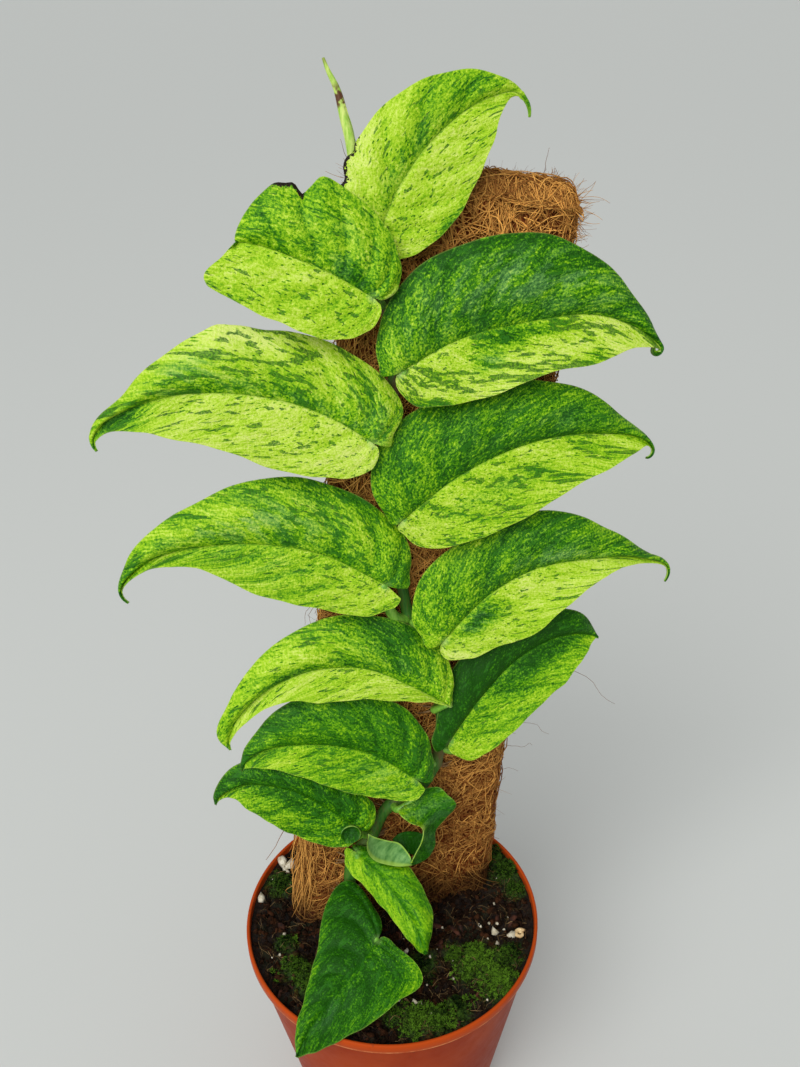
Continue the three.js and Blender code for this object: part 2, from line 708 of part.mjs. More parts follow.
const plant = new THREE.Group();
plant.add(makePot(), makeSoil(), climbing);
for (const [name, leaf] of Object.entries(HANGING_LEAVES)) {
  plant.add(makeHangingLeaf(name, leaf));
}

export default plant;
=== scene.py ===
"""A variegated shingle plant on a coir board, in a terracotta-orange nursery pot.

Each piece is worked out in millimetres as whole arrays and put into the row frame in metres. The leaves
use the same midribs, widths and stand-off as the solids, with finer relief.
"""

import math
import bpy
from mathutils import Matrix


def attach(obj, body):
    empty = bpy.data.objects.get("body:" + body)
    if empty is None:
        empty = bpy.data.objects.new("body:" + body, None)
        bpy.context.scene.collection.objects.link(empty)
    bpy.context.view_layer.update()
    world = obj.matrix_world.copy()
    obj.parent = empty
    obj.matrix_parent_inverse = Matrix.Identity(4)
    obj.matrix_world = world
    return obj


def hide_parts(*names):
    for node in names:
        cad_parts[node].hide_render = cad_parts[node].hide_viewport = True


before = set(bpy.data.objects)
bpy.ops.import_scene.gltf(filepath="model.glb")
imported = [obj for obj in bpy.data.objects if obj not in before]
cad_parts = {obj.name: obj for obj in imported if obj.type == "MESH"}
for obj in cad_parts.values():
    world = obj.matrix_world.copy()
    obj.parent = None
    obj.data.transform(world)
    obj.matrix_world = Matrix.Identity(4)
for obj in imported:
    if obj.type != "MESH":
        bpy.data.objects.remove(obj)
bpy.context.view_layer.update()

import bpy
import numpy as np
from mathutils import Matrix, Vector

bl_info = {
    "name": "Potted shingle plant",
    "version": (1, 0, 0),
    "blender": (4, 5, 0),
    "location": "3D View > Sidebar > Plant",
    "description": "Builds a variegated shingle plant on a coir board in a nursery pot",
    "category": "Add Mesh",
}

MM = 0.001

# The photograph's camera: picture height and focal length in pixels, place in metres, turns in degrees.
PHOTO_HEIGHT = 1067
FOCAL_LENGTH = 1000
CAMERA_PLACE = (0.0074, -0.2819, 0.4424)
CAMERA_PITCH = 29.88
CAMERA_ROLL = -1.49
SENSOR_HEIGHT = 36.0

# What each kind of scattered thing starts its random numbers from.
LITTER_SEED = 11
MOSS_SEED = 23
FIBRE_SEED = 31
ROOT_SEED = 5

# The board's place: the middle of its face at soil level, how it turns and leans, and how it narrows.
BOARD_FOOT = (2.4, 7.5, 95.0)
BOARD_TURN = 13.0
BOARD_LEAN_BACK = 10.0
BOARD_LEAN_RIGHT = 6.5
BOARD_IN_SOIL = 54.0
BOARD_TAPER = 0.03

# The stem's way up the board, across and up.
STEM_STAND_OFF = 3.6
STEM_PATH = [
    (-21.5, -22), (-21.6, 5), (-21.5, 30), (-15, 40), (-10.5, 51), (4.5, 63), (9.5, 79), (7.5, 99),
    (5, 117), (-7.5, 133), (-12, 147), (-14, 160), (-15.5, 174), (-20, 189), (-23, 203), (-22, 227),
    (-27, 249), (-32, 268), (-38, 283),
]

# The rolled new leaf, across, up and out.
SHOOT_PATH = [
    (-38, 282, 4), (-41.5, 294, 4.5), (-43, 299, 5), (-45.3, 305, 5), (-48.3, 313, 5), (-51.4, 318, 5),
    (-52.8, 320.8, 5),
]

# Shares of the way from a blade's base to its tip where the widths of its two halves are given.
STATIONS = (0, 0.1, 0.2, 0.32, 0.46, 0.6, 0.74, 0.87, 0.95, 1)
RIGHT = 1
LEFT = -1
USUAL_TURN = 50
BLADE_ROWS = 136
BLADE_COLUMNS = 49
STALK_ROW = 5
STALK_SIDES = 14

# The pot: its neck lies in from the lip, and its floor has drain holes on a ring.
NECK_INSET = 1.7
FLOOR = 2.0
HOLE_RING = 27.0
HOLE_RADIUS = 4.0
HOLE_COUNT = 6

# How a blade stands off the board, how its tip hooks and how green it is. Each leaf may change these.
# The hook is the length in mm that curls at the tip, and by how many degrees. beyond is how far it runs past
# the tip of the solid, and curl_fill widens the lower half of such a curl. bend is a point that the stalk
# goes by, and stalk gives its two radii. A leaf with a place hangs in a plane of its own, tilted about X.
USUAL_LEAF = dict(
    lift=13.5, lean=0.12, droop=10, crest=2.5, tuck=1.5, flare=2.5, hook=(5, 60), beyond=0, curl_fill=0,
    bites=[], scorch=[], bend=None, stalk=(1.8, 1.2), place=None, tilt=0,
    green=(0.6, 0.3), flecks=(0.3, 0.25), contrast=1, patches=[],
)

# The leaves, lowest first. node is the stalk's height on the stem and turn its direction about it. The
# midrib runs from the stalk to the tip, across and up, and upper and lower are its halves' widths in mm.
# green and flecks are given for the upper and then the lower half. The greenness of a half is partly the
# leaf's
# marbling and partly painted shade: it is set darker on the lowest leaves and on halves that lie in shade. A
# patch has its share of the way along the midrib, its reach (above the midrib, or below it where negative),
# its two spreads, how much greener it is and how much painted sheen it gets. A patch that lies just above
# the midrib and makes it greener is painted shade in the fold along the midrib. A bite in the upper margin
# has its middle, its depth in mm and its spread, and a scorch has its middle, its spread and its width in
# mm.
LEAVES = {
    "leaf_01": dict(
        side=LEFT, node=14, turn=0,
        place=(-5.3, -23.5, 112), tilt=18,
        midrib=[(0, 0), (-10.3, -13.2), (-20, -24.3), (-27, -34), (-29.8, -40)],
        upper=(4, 14, 29, 26.5, 18, 12.5, 8.5, 5, 2.4, 0.5),
        lower=(1.5, 5.6, 11.6, 23.6, 19.8, 16.4, 13, 8, 3.6, 0.5),
        droop=8, crest=1, tuck=0.5, flare=1, hook=(1, 0),
        green=(0.9, 0.86), flecks=(0.2, 0.15), contrast=0.78,
        patches=[
            (0.12, 0.5, 0.15, 0.5, 0.12, 0), (0.6, 0.92, 0.3, 0.2, -0.22, 0),
            (0.66, -0.2, 0.2, 0.22, 0.08, 0.8), (0.2, -0.9, 0.2, 0.22, -0.16, 0),
            (0.9, 0.5, 0.1, 0.4, -0.15, 0),
        ],
    ),
    "leaf_02": dict(
        side=RIGHT, node=30, turn=0,
        place=(-13.4, 0.8, 134), tilt=45,
        midrib=[(0, 0), (8, -7.8), (16, -17.8), (22.8, -28.4), (26.4, -38)],
        upper=(3, 4, 5, 6.5, 10, 11, 10, 6, 3.2, 1),
        lower=(4, 6, 7.5, 8, 7.2, 7, 7, 5.6, 3.5, 1),
        droop=3, crest=1, tuck=3, flare=-2, hook=(1, 0),
        green=(0.6, 0.55), flecks=(0.1, 0.1), contrast=0.5,
        patches=[
            (0.08, 0.3, 0.14, 0.9, 0.16, 0), (0.5, 0.0, 0.3, 0.25, 0.14, 0),
            (0.75, 0.5, 0.1, 0.4, -0.1, 0),
        ],
    ),
    "leaf_03": dict(
        side=LEFT, node=40,
        midrib=[(-25, 51), (-37, 60), (-51, 68), (-73, 68.5), (-78.7, 63.4)],
        upper=(6, 9.5, 12.5, 13, 11, 10.5, 11.5, 7.5, 3.6, 0.5),
        lower=(5, 7, 10, 13, 14, 14, 10.5, 5, 1.6, 0.5),
        hook=(3, 20),
        green=(0.85, 0.63), flecks=(0.3, 0.25), contrast=0.95,
        patches=[
            (0.45, -0.2, 0.3, 0.22, 0.3, 0), (0.8, -0.7, 0.15, 0.4, -0.12, 0),
            (0.04, 0.85, 0.08, 0.3, -0.25, 0),
        ],
    ),
    "leaf_05": dict(
        side=LEFT, node=72,
        midrib=[(-2, 71), (-21, 82.7), (-45, 87.3), (-66, 82.2), (-69.5, 77.8)],
        upper=(6.5, 9, 12.5, 18, 21.5, 21, 18, 8.5, 3, 0.5),
        lower=(5, 8.5, 11.5, 14, 15.5, 15, 11.5, 8, 3.4, 0.5),
        hook=(3, 20),
        green=(0.76, 0.55), flecks=(0.45, 0.35), contrast=0.8,
        patches=[
            (0.15, -0.4, 0.16, 0.4, 0, 0.45), (0.68, -0.7, 0.14, 0.3, -0.2, 0),
            (0.55, 0.1, 0.3, 0.15, 0.1, 0), (0.7, 0.9, 0.15, 0.2, 0.05, 0.2),
        ],
    ),
    "leaf_06": dict(
        side=RIGHT, node=79, lift=11,
        midrib=[(10.5, 85.7), (21, 102), (38, 120), (59, 127), (69.5, 125.5)],
        upper=(6.5, 8.6, 10, 13, 16.5, 16.5, 15.5, 10.5, 4.5, 0.5),
        lower=(2, 7, 15, 17.6, 19.4, 21.5, 19, 11.5, 4.5, 0.5),
        hook=(2, 10),
        green=(1.0, 0.5), flecks=(0.15, 0.15), contrast=0.85,
        patches=[
            (0.6, -0.2, 0.3, 0.3, 0.42, 0.1), (0.85, 0.7, 0.15, 0.4, -0.15, 0),
            (0.1, -0.8, 0.1, 0.4, -0.1, 0),
        ],
    ),
    "leaf_07": dict(
        side=LEFT, node=98,
        midrib=[
            (8, 103), (-8, 111.4), (-25, 118.6), (-45, 118.5), (-60, 112), (-72.4, 98), (-75.4, 88.6),
        ],
        upper=(0.8, 3.3, 10.2, 17.8, 20.5, 19, 13.6, 7.8, 6, 0.5),
        lower=(0.4, 0.9, 2.1, 4.8, 9.9, 12.3, 8, 4.2, 2.3, 0.5),
        hook=(4, 40),
        green=(0.42, 0.28), flecks=(0.3, 0.15),
        patches=[
            (0.34, 0.82, 0.13, 0.4, 0.45, 0.15), (0.28, 0.35, 0.1, 0.2, 0.2, 0.3),
            (0.6, 0.15, 0.13, 0.16, 0.38, 0.2), (0.06, 0.5, 0.1, 0.6, 0.06, 0),
            (0.47, 0.6, 0.06, 0.3, -0.15, 0), (0.3, 0.1, 0.2, 0.1, 0.2, 0),
        ],
    ),
    "leaf_08": dict(
        side=RIGHT, node=134.5, turn=10, bend=(-1, 133.5, 10),
        midrib=[
            (2.5, 130.5), (20, 148.5), (36.5, 157.4), (58, 160.7), (81.4, 160.4), (91.9, 156.7),
            (93.5, 151),
        ],
        upper=(6, 10.5, 19, 24, 22.5, 20, 12.4, 3.6, 1.6, 0.5),
        lower=(2.5, 9, 14, 18, 22.5, 16.2, 7.8, 2, 1.2, 0.5),
        hook=(4, 70),
        green=(0.63, 0.29), flecks=(0.25, 0.2),
        patches=[
            (0.45, 0.6, 0.18, 0.4, 0.15, 0.2), (0.5, 0.22, 0.18, 0.15, -0.08, 0.9),
            (0.03, 0.6, 0.1, 0.5, -0.14, 0), (0.15, -0.28, 0.09, 0.22, 0.6, 0.6),
            (0.05, -0.8, 0.06, 0.4, -0.18, 0), (0.3, 0.08, 0.25, 0.1, 0.12, 0),
        ],
    ),
    "leaf_09": dict(
        side=LEFT, node=136, turn=-70, bend=(-19, 141, 8), stalk=(2.6, 1.5),
        midrib=[
            (-21, 153), (-46, 164.7), (-76, 167.8), (-104.7, 160), (-111.3, 153.5), (-112.8, 146.3),
        ],
        upper=(8, 12, 18.5, 22.5, 24, 21.3, 14.3, 6.8, 1.8, 0.5),
        lower=(7, 11, 15, 17.5, 18.5, 15.5, 7.5, 2.5, 1.4, 0.5),
        hook=(6, 80),
        green=(0.5, 0.42), flecks=(0.5, 0.3),
        patches=[
            (0.48, 0.4, 0.2, 0.3, 0, 0.9), (0.04, 0.6, 0.09, 0.5, 0.24, 0.1),
            (0.3, 0.97, 0.14, 0.14, 0.25, 0), (0.5, -0.4, 0.2, 0.35, 0.1, 0.3),
            (0.1, -0.5, 0.12, 0.5, -0.16, 0), (0.92, 0, 0.1, 2, 0.12, 0), (0.3, 0.12, 0.3, 0.12, 0.16, 0),
        ],
    ),
    "leaf_10": dict(
        side=RIGHT, node=172,
        midrib=[(-18, 177), (3.5, 194), (29, 205.7), (53, 209), (76.5, 204), (78.8, 199.5)],
        upper=(3, 8, 18.5, 28, 27, 23.2, 16.2, 6.2, 1.7, 0.5),
        lower=(1.5, 7, 15, 21, 24, 23, 17, 9, 1.5, 0.5),
        hook=(5, 130),
        green=(0.7, 0.37), flecks=(0.2, 0.55),
        patches=[
            (0.04, 0.5, 0.1, 0.5, -0.1, 0), (0.5, 0.4, 0.25, 0.25, 0, 0.35),
            (0.4, 0.08, 0.3, 0.08, 0.12, 0), (0.3, -0.45, 0.2, 0.15, 0.1, 0.2),
            (0.04, -0.7, 0.08, 0.5, -0.12, 0),
        ],
    ),
    "leaf_11": dict(
        side=LEFT, node=205, bend=(-33.5, 204, 6),
        midrib=[(-30, 205), (-45, 213), (-73.5, 219.5), (-104, 215.5), (-118.5, 206.5), (-121.8, 200)],
        upper=(6, 10, 19, 22, 22, 22, 13, 5, 2.4, 0.5),
        bites=[(0.54, 1.6, 0.035), (0.62, -1.0, 0.02)],
        lower=(2, 9.5, 15.5, 20, 21.5, 18.5, 14, 7.4, 2.8, 0.5),
        hook=(5, 70),
        green=(0.36, 0.2), flecks=(0.6, 0.25),
        patches=[
            (0.3, 0.12, 0.32, 0.13, 0.26, 0.3), (0.62, 0.5, 0.15, 0.3, 0.14, 0.8),
            (0.44, 0.9, 0.14, 0.3, -0.36, 0), (0.08, 0.5, 0.12, 0.5, 0.14, 0.4),
            (0.86, -0.3, 0.14, 1, 0.55, 0.2), (0.62, 0.1, 0.12, 0.12, 0.2, 0.3),
        ],
    ),
    "leaf_12": dict(
        side=RIGHT, node=224,
        midrib=[
            (-23, 229), (-4.5, 240), (22.5, 248), (45, 251), (60, 248), (71.1, 242.1), (74, 239.8),
        ],
        upper=(6, 10, 17, 25, 28.6, 28.5, 19, 8.2, 2.9, 0.7),
        lower=(1.5, 8, 15.5, 19.5, 20.5, 18, 18, 9.5, 3.4, 0.8),
        hook=(9, 290), beyond=6, curl_fill=0.8,
        green=(0.73, 0.2), flecks=(0.12, 1.0), contrast=1.05,
        patches=[
            (0.04, 0.5, 0.13, 0.6, -0.24, 0), (0.3, 0.97, 0.28, 0.14, 0.2, 0),
            (0.4, -0.18, 0.15, 0.2, 0.66, 0), (0.3, -0.5, 0.05, 0.14, 0.3, 0.8),
            (0.12, -1.0, 0.08, 0.12, 0.5, 0), (0.62, -0.9, 0.05, 0.16, 0.4, 0),
            (0.45, 0.5, 0.3, 0.35, 0, 1.0), (0.2, -0.4, 0.16, 0.3, 0.08, 0),
        ],
    ),
    "leaf_13": dict(
        side=LEFT, node=250, lift=14.5, lean=0.08, bend=(-37, 249, 8),
        midrib=[(-34, 252.8), (-47, 259), (-61, 263.7), (-70, 266), (-74.6, 266.5), (-77.1, 266.4)],
        upper=(3.4, 9, 14.3, 18.8, 23.6, 26.2, 22, 11.2, 4.4, 0.5),
        lower=(3, 7.5, 12.9, 16.9, 19.9, 20.4, 21.6, 21, 13.6, 1.2),
        bites=[(0.629, 2.6, 0.018), (0.657, 5.2, 0.02), (0.7, 1.9, 0.03)],
        hook=(1, 0),
        scorch=[(0.705, 0.045, 1.2), (0.669, 0.014, 2.2)],
        green=(0.52, 0.33), flecks=(0.15, 0.16),
        patches=[
            (0.2, 0.14, 0.22, 0.18, 0.3, 0.5), (0.01, 0.9, 0.03, 0.3, -0.45, 0.5),
            (0.75, 0.6, 0.2, 0.4, 0.08, 0), (0.55, -0.2, 0.2, 0.3, -0.08, 0),
            (0.4, 0.7, 0.2, 0.3, 0, 0.2),
        ],
    ),
    "leaf_14": dict(
        side=RIGHT, node=270, lift=8.2, lean=0, droop=6, crest=0.8, tuck=0.5, flare=0.5,
        midrib=[(-33, 270), (-27, 286.5), (-14.5, 304.5), (0.5, 315.4), (8.6, 317.4), (12.4, 315.8)],
        upper=(5, 8, 10.5, 17.5, 18.8, 17.2, 13.6, 6.8, 2.4, 0.6),
        lower=(5, 9, 13.7, 18.2, 21.4, 19, 14, 5.2, 1.8, 0.6),
        bites=[(0.3, 1.5, 0.012), (0.36, 2, 0.02), (0.43, 1.2, 0.012)],
        hook=(9, 85), beyond=5, curl_fill=0.3,
        scorch=[(0.36, 0.09, 1.0), (0.27, 0.04, 1.4)],
        green=(0.31, 0.28), flecks=(0.1, 0.1),
        patches=[
            (0.72, 0.65, 0.2, 0.4, 0.26, 0), (0.25, 0.9, 0.13, 0.3, -0.2, 0),
            (0.35, 0.2, 0.25, 0.2, 0.16, 0.2), (0.27, -0.98, 0.09, 0.1, 0.5, 0),
            (0.6, 0.08, 0.4, 0.1, 0.12, 0),
        ],
    ),
}

# The marbling: where each of the leaves' colours stands between palest and darkest.
MARBLING = (
    (0.0, "leaf_cream"), (0.16, "leaf_pale"), (0.33, "leaf_lime"), (0.5, "leaf_fresh"), (0.66, "leaf_green"),
    (0.82, "leaf_deep"), (1.0, "leaf_dark"),
)

# The curled leaf: pairs of points on its outer and inner edges, across, up and out.
CURLED_NODE = 54
NODES = [leaf["node"] for leaf in LEAVES.values()] + [CURLED_NODE]
CURLED_OUTER = [
    (2.1, 64.2, 10), (7.8, 65.8, 12), (11.7, 62.2, 12), (16.1, 56.6, 12), (12.5, 51, 12),
    (8.9, 45.6, 12), (9.2, 38, 12), (6.7, 33.5, 13), (1.8, 32.2, 14.8), (-4.5, 33.2, 17),
    (-10.4, 34.9, 17.8), (-17.2, 38.2, 18), (-20.3, 43, 18), (-20.4, 50.2, 17),
]
CURLED_INNER = [
    (-2.9, 57.9, 9), (-5.5, 57.2, 11), (-8.1, 56.9, 14), (-4.3, 54.5, 18), (-0.7, 54, 20),
    (0.8, 51.5, 20.5), (0, 47, 21.5), (-1.7, 42.4, 21.5), (-3, 37.6, 20.8), (-2.2, 37.4, 16.5),
    (-6.2, 42.2, 14.5), (-11.5, 44.3, 14.5), (-16.3, 46.8, 15.5), (-20, 50, 17),
]
CURLED_TURN = 0.62

# Perlite seen on the mix: x, y and size. Bark chips seen on it: x and y. The tan curl: x and y.
PERLITE_SEEN = [
    (36.4, -5.3, 0.6), (41.7, -9.1, 1.1), (43.3, -5.5, 0.8), (42.5, -13.6, 0.9), (48.3, -11.3, 1.5),
    (51.7, -4.7, 0.6), (23.7, -29, 0.6), (5.8, -16, 1.1), (8.5, -39.5, 0.8), (10.6, -39.6, 0.8),
    (-48.4, 29.5, 2), (-44.6, 28.2, 2.3), (-46.8, 25.5, 1.4), (-55.2, 9.8, 1.5), (-44.3, -7.4, 0.8),
    (46, -6.9, 0.6), (40.1, -4.2, 0.5), (38.9, -11.9, 0.5),
]
CHIPS_SEEN = [(-46.4, -2.7), (49.5, -3.7), (19.6, -11.9), (2.4, -8.4), (44, -1), (26, -8)]
TAN_CURL = (52, -10.9)

# Moss on the soil: middle x and y, reach, number of cushions, and how bright it is.
MOSS_PATCHES = [
    (50, 22, 7, 18, -0.25), (46, 31, 4.5, 8, -0.3), (53, 12, 4, 5, -0.2), (34, -24, 9, 58, 0.12),
    (41, -33, 8, 38, 0.17), (26, -18, 5, 9, -0.1), (46, -21, 5, 8, -0.15), (9, -47, 7, 24, 0.1),
    (17, -48, 6, 16, 0.05), (0, -44, 4, 5, -0.05), (24, -45, 5, 7, -0.35), (-37, -24, 6, 13, -0.05),
    (-33, -31, 5, 7, -0.1), (-43, -12, 4, 4, -0.3), (12, -22, 5, 6, -0.35), (-48, 18, 6, 7, -0.3),
]


def unit(vectors):
    """Divide each vector by its length."""
    return vectors / np.maximum(np.linalg.norm(vectors, axis=-1, keepdims=True), 1e-12)


def stack(*parts):
    """Put numbers and arrays side by side along a new last axis."""
    return np.stack(np.broadcast_arrays(*parts), axis=-1)


def bell(value, middle, spread):
    """Fall from 1 at the middle to both sides: e to the power of minus the squared distance in spreads."""
    return np.exp(-(((value - middle) / spread) ** 2))


def ease(value, low, high):
    """Rise smoothly from 0 at low to 1 at high."""
    part = np.clip((value - low) / (high - low), 0, 1)
    return part * part * (3 - 2 * part)


def smooth(xs, ys, x):
    """Read the cubic through (xs, ys) at x, whose slopes come from the neighbouring rises."""
    xs = np.asarray(xs, float)
    ys = np.asarray(ys, float)
    x = np.asarray(x, float)
    gaps = np.diff(xs)
    rises = np.diff(ys) / gaps
    slopes = np.empty_like(ys)
    slopes[0] = rises[0]
    slopes[-1] = rises[-1]
    slopes[1:-1] = (rises[:-1] * gaps[1:] + rises[1:] * gaps[:-1]) / (gaps[:-1] + gaps[1:])
    i = np.clip(np.searchsorted(xs, x, side="right") - 1, 0, len(gaps) - 1)
    s = (x - xs[i]) / gaps[i]
    start = (2 * s**3 - 3 * s**2 + 1) * ys[i] + (s**3 - 2 * s**2 + s) * gaps[i] * slopes[i]
    end = (3 * s**2 - 2 * s**3) * ys[i + 1] + (s**3 - s**2) * gaps[i] * slopes[i + 1]
    return start + end


def line_length(points):
    """Length of the broken line through the points."""
    return np.linalg.norm(np.diff(np.asarray(points, float), axis=0), axis=1).sum()


def along(points, share):
    """Points at shares of the way along the smooth curve through the given points."""
    points = np.asarray(points, float)
    reach = np.concatenate(([0], np.cumsum(np.linalg.norm(np.diff(points, axis=0), axis=1))))
    knots = reach / reach[-1]
    share = np.clip(share, 0, 1)
    return np.stack([smooth(knots, points[:, axis], share) for axis in range(points.shape[1])], axis=-1)


def lattice_noise(points, seed=0):
    """Smooth noise from -1 to 1: random values on a unit lattice, blended with eased weights."""
    cell = np.floor(points)
    part = points - cell
    eased = part * part * (3 - 2 * part)
    total = np.zeros(points.shape[:-1])
    for corner in range(8):
        step = np.array([corner & 1, corner >> 1 & 1, corner >> 2 & 1])
        weight = np.prod(np.where(step, eased, 1 - eased), axis=-1)
        key = (cell + step) @ np.array([127.1, 311.7, 74.7]) + seed * 19.19
        value = np.sin(key) * 43758.5453
        total += weight * (2 * (value - np.floor(value)) - 1)
    return total


def layered_noise(points, octaves, seed=0):
    """Sum of lattice noise, each layer twice as fine and half as strong."""
    total = np.zeros(points.shape[:-1])
    for octave in range(octaves):
        total += lattice_noise(points * 2**octave, seed + octave) / 2**octave
    return total


def board_axes():
    """The board's directions across, up and out, as three rows."""
    up = np.array([math.tan(math.radians(BOARD_LEAN_RIGHT)), math.tan(math.radians(BOARD_LEAN_BACK)), 1.0])
    up = unit(up)
    turn = math.radians(BOARD_TURN)
    across = np.array([math.cos(turn), math.sin(turn), 0.0])
    across = unit(across - up * (across @ up))
    return np.array([across, up, np.cross(across, up)])


AXES = board_axes()


def from_board(points):
    """Turn places across, up and out from the board, in mm, into the row frame in mm."""
    return np.asarray(points, float) @ AXES + np.array(BOARD_FOOT)


def from_tilted(points, place, tilt):
    """Turn places in a plane tilted about X, in mm, into the row frame in mm."""
    c = math.cos(math.radians(tilt))
    s = math.sin(math.radians(tilt))
    return np.asarray(points, float) @ np.array([[1, 0, 0], [0, c, s], [0, -s, c]]) + np.array(place)


def to_board(points):
    """Turn places in the row frame, in mm, into places across, up and out from the board."""
    return (np.asarray(points, float) - np.array(BOARD_FOOT)) @ AXES.T


def grid_quads(rows, columns, round_columns=False):
    """Corner numbers of the quads of a grid of points, which may close on itself round its columns."""
    i = np.arange(rows - 1)
    j = np.arange(columns if round_columns else columns - 1)
    i, j = np.meshgrid(i, j, indexing="ij")
    next_j = (j + 1) % columns
    corners = [i * columns + j, i * columns + next_j, (i + 1) * columns + next_j, (i + 1) * columns + j]
    return np.stack(corners, axis=-1).reshape(-1, 4)


def new_object(name, data):
    """Make an object of a mesh, a lamp or a camera, and put it in the scene."""
    made = bpy.data.objects.new(name, data)
    bpy.context.scene.collection.objects.link(made)
    return made


def new_piece(name, points, faces):
    """Make a smooth mesh object from points in mm and arrays of faces, and let it ride on the plant."""
    mesh = bpy.data.meshes.new(name)
    sizes = np.concatenate([np.full(len(part), part.shape[1]) for part in faces])
    corners = np.concatenate([part.ravel() for part in faces])
    mesh.vertices.add(len(points))
    mesh.vertices.foreach_set("co", (np.asarray(points) * MM).astype(np.float32).ravel())
    mesh.loops.add(len(corners))
    mesh.loops.foreach_set("vertex_index", corners.astype(np.int32))
    mesh.polygons.add(len(sizes))
    mesh.polygons.foreach_set("loop_start", np.concatenate(([0], np.cumsum(sizes)[:-1])).astype(np.int32))
    mesh.polygons.foreach_set("use_smooth", np.ones(len(sizes), bool))
    mesh.update(calc_edges=True)
    mesh.validate()
    piece = new_object(name, mesh)
    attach(piece, "root")
    return piece


def add_attribute(piece, name, kind, values):
    """Store a number or a vector for each point of a piece."""
    layer = piece.data.attributes.new(name, kind, "POINT")
    key = "vector" if kind == "FLOAT_VECTOR" else "value"
    layer.data.foreach_set(key, np.asarray(values, np.float32).ravel())


def add_uv(piece, per_point):
    """Give the piece a UV map from one pair of numbers for each point."""
    corners = np.empty(len(piece.data.loops), np.int32)
    piece.data.loops.foreach_get("vertex_index", corners)
    layer = piece.data.uv_layers.new(name="UVMap")
    layer.data.foreach_set("uv", np.asarray(per_point, np.float32)[corners].ravel())


def rods(paths, radii, sides):
    """Closed round rods: circles of the given radii, square to each path, joined up and capped.

    paths is (rods, steps, 3) and radii is (rods, steps). Returns points, and faces as quads and two caps.
    """
    paths = np.asarray(paths, float)
    count, steps, _ = paths.shape
    heading = unit(np.gradient(paths, axis=1))
    helper = np.where(np.abs(heading[:, :1, 2:]) < 0.8, [[[0.0, 0.0, 1.0]]], [[[1.0, 0.0, 0.0]]])
    first = unit(np.cross(heading, np.broadcast_to(helper, heading.shape)))
    second = np.cross(heading, first)
    angle = np.arange(sides) / sides * 2 * np.pi
    ring = first[:, :, None] * np.cos(angle)[:, None] + second[:, :, None] * np.sin(angle)[:, None]
    points = paths[:, :, None] + ring * np.asarray(radii)[:, :, None, None]
    quads = grid_quads(steps, sides, round_columns=True)
    starts = np.arange(count) * steps * sides
    all_quads = (quads[None] + starts[:, None, None]).reshape(-1, 4)
    cap = np.arange(sides)
    near = cap[::-1][None] + starts[:, None]
    far = cap[None] + starts[:, None] + (steps - 1) * sides
    return points.reshape(-1, 3), [all_quads, near, far]


def lathe(profile, segments):
    """Solid of revolution about +Z: each (radius, height) of the profile goes round a circle.

    The profile runs from the middle of the underside, out and up, and back in to the middle. Returns the
    rings and the faces.
    """
    profile = np.asarray(profile, float)
    angle = np.arange(segments) / segments * 2 * np.pi
    x = profile[:, 0, None] * np.cos(angle)
    y = profile[:, 0, None] * np.sin(angle)
    z = np.broadcast_to(profile[:, 1, None], x.shape)
    circle = np.arange(segments)
    faces = [
        grid_quads(len(profile), segments, round_columns=True),
        circle[None, ::-1],
        circle[None] + (len(profile) - 1) * segments,
    ]
    return stack(x, y, z), faces


def solid_sheet(rows, thickness):
    """Thicken a grid of points to both sides along its normals, and close it with a rim.

    thickness is one number for each point. Returns points, faces of the front and rim, and faces of the
    back.
    """
    down = np.gradient(rows, axis=0)
    across = np.gradient(rows, axis=1)
    normal = unit(np.cross(across, down))
    m, n = rows.shape[:2]
    half = np.asarray(thickness)[..., None] / 2
    points = np.concatenate([(rows + normal * half).reshape(-1, 3), (rows - normal * half).reshape(-1, 3)])
    quads = grid_quads(m, n)
    under = quads[:, ::-1] + m * n
    index = np.arange(m * n).reshape(m, n)
    loop = np.concatenate([index[0, :-1], index[:-1, -1], index[-1, :0:-1], index[:0:-1, 0]])
    following = np.roll(loop, -1)
    rim = stack(following, loop, loop + m * n, following + m * n)
    return points, np.concatenate([quads, rim]), under


def join_parts(parts):
    """Put several (points, faces) together into one list of points and one of faces."""
    points = []
    faces = []
    first = 0
    for part_points, part_faces in parts:
        points.append(part_points)
        faces += [face + first for face in part_faces]
        first += len(part_points)
    return np.concatenate(points), faces


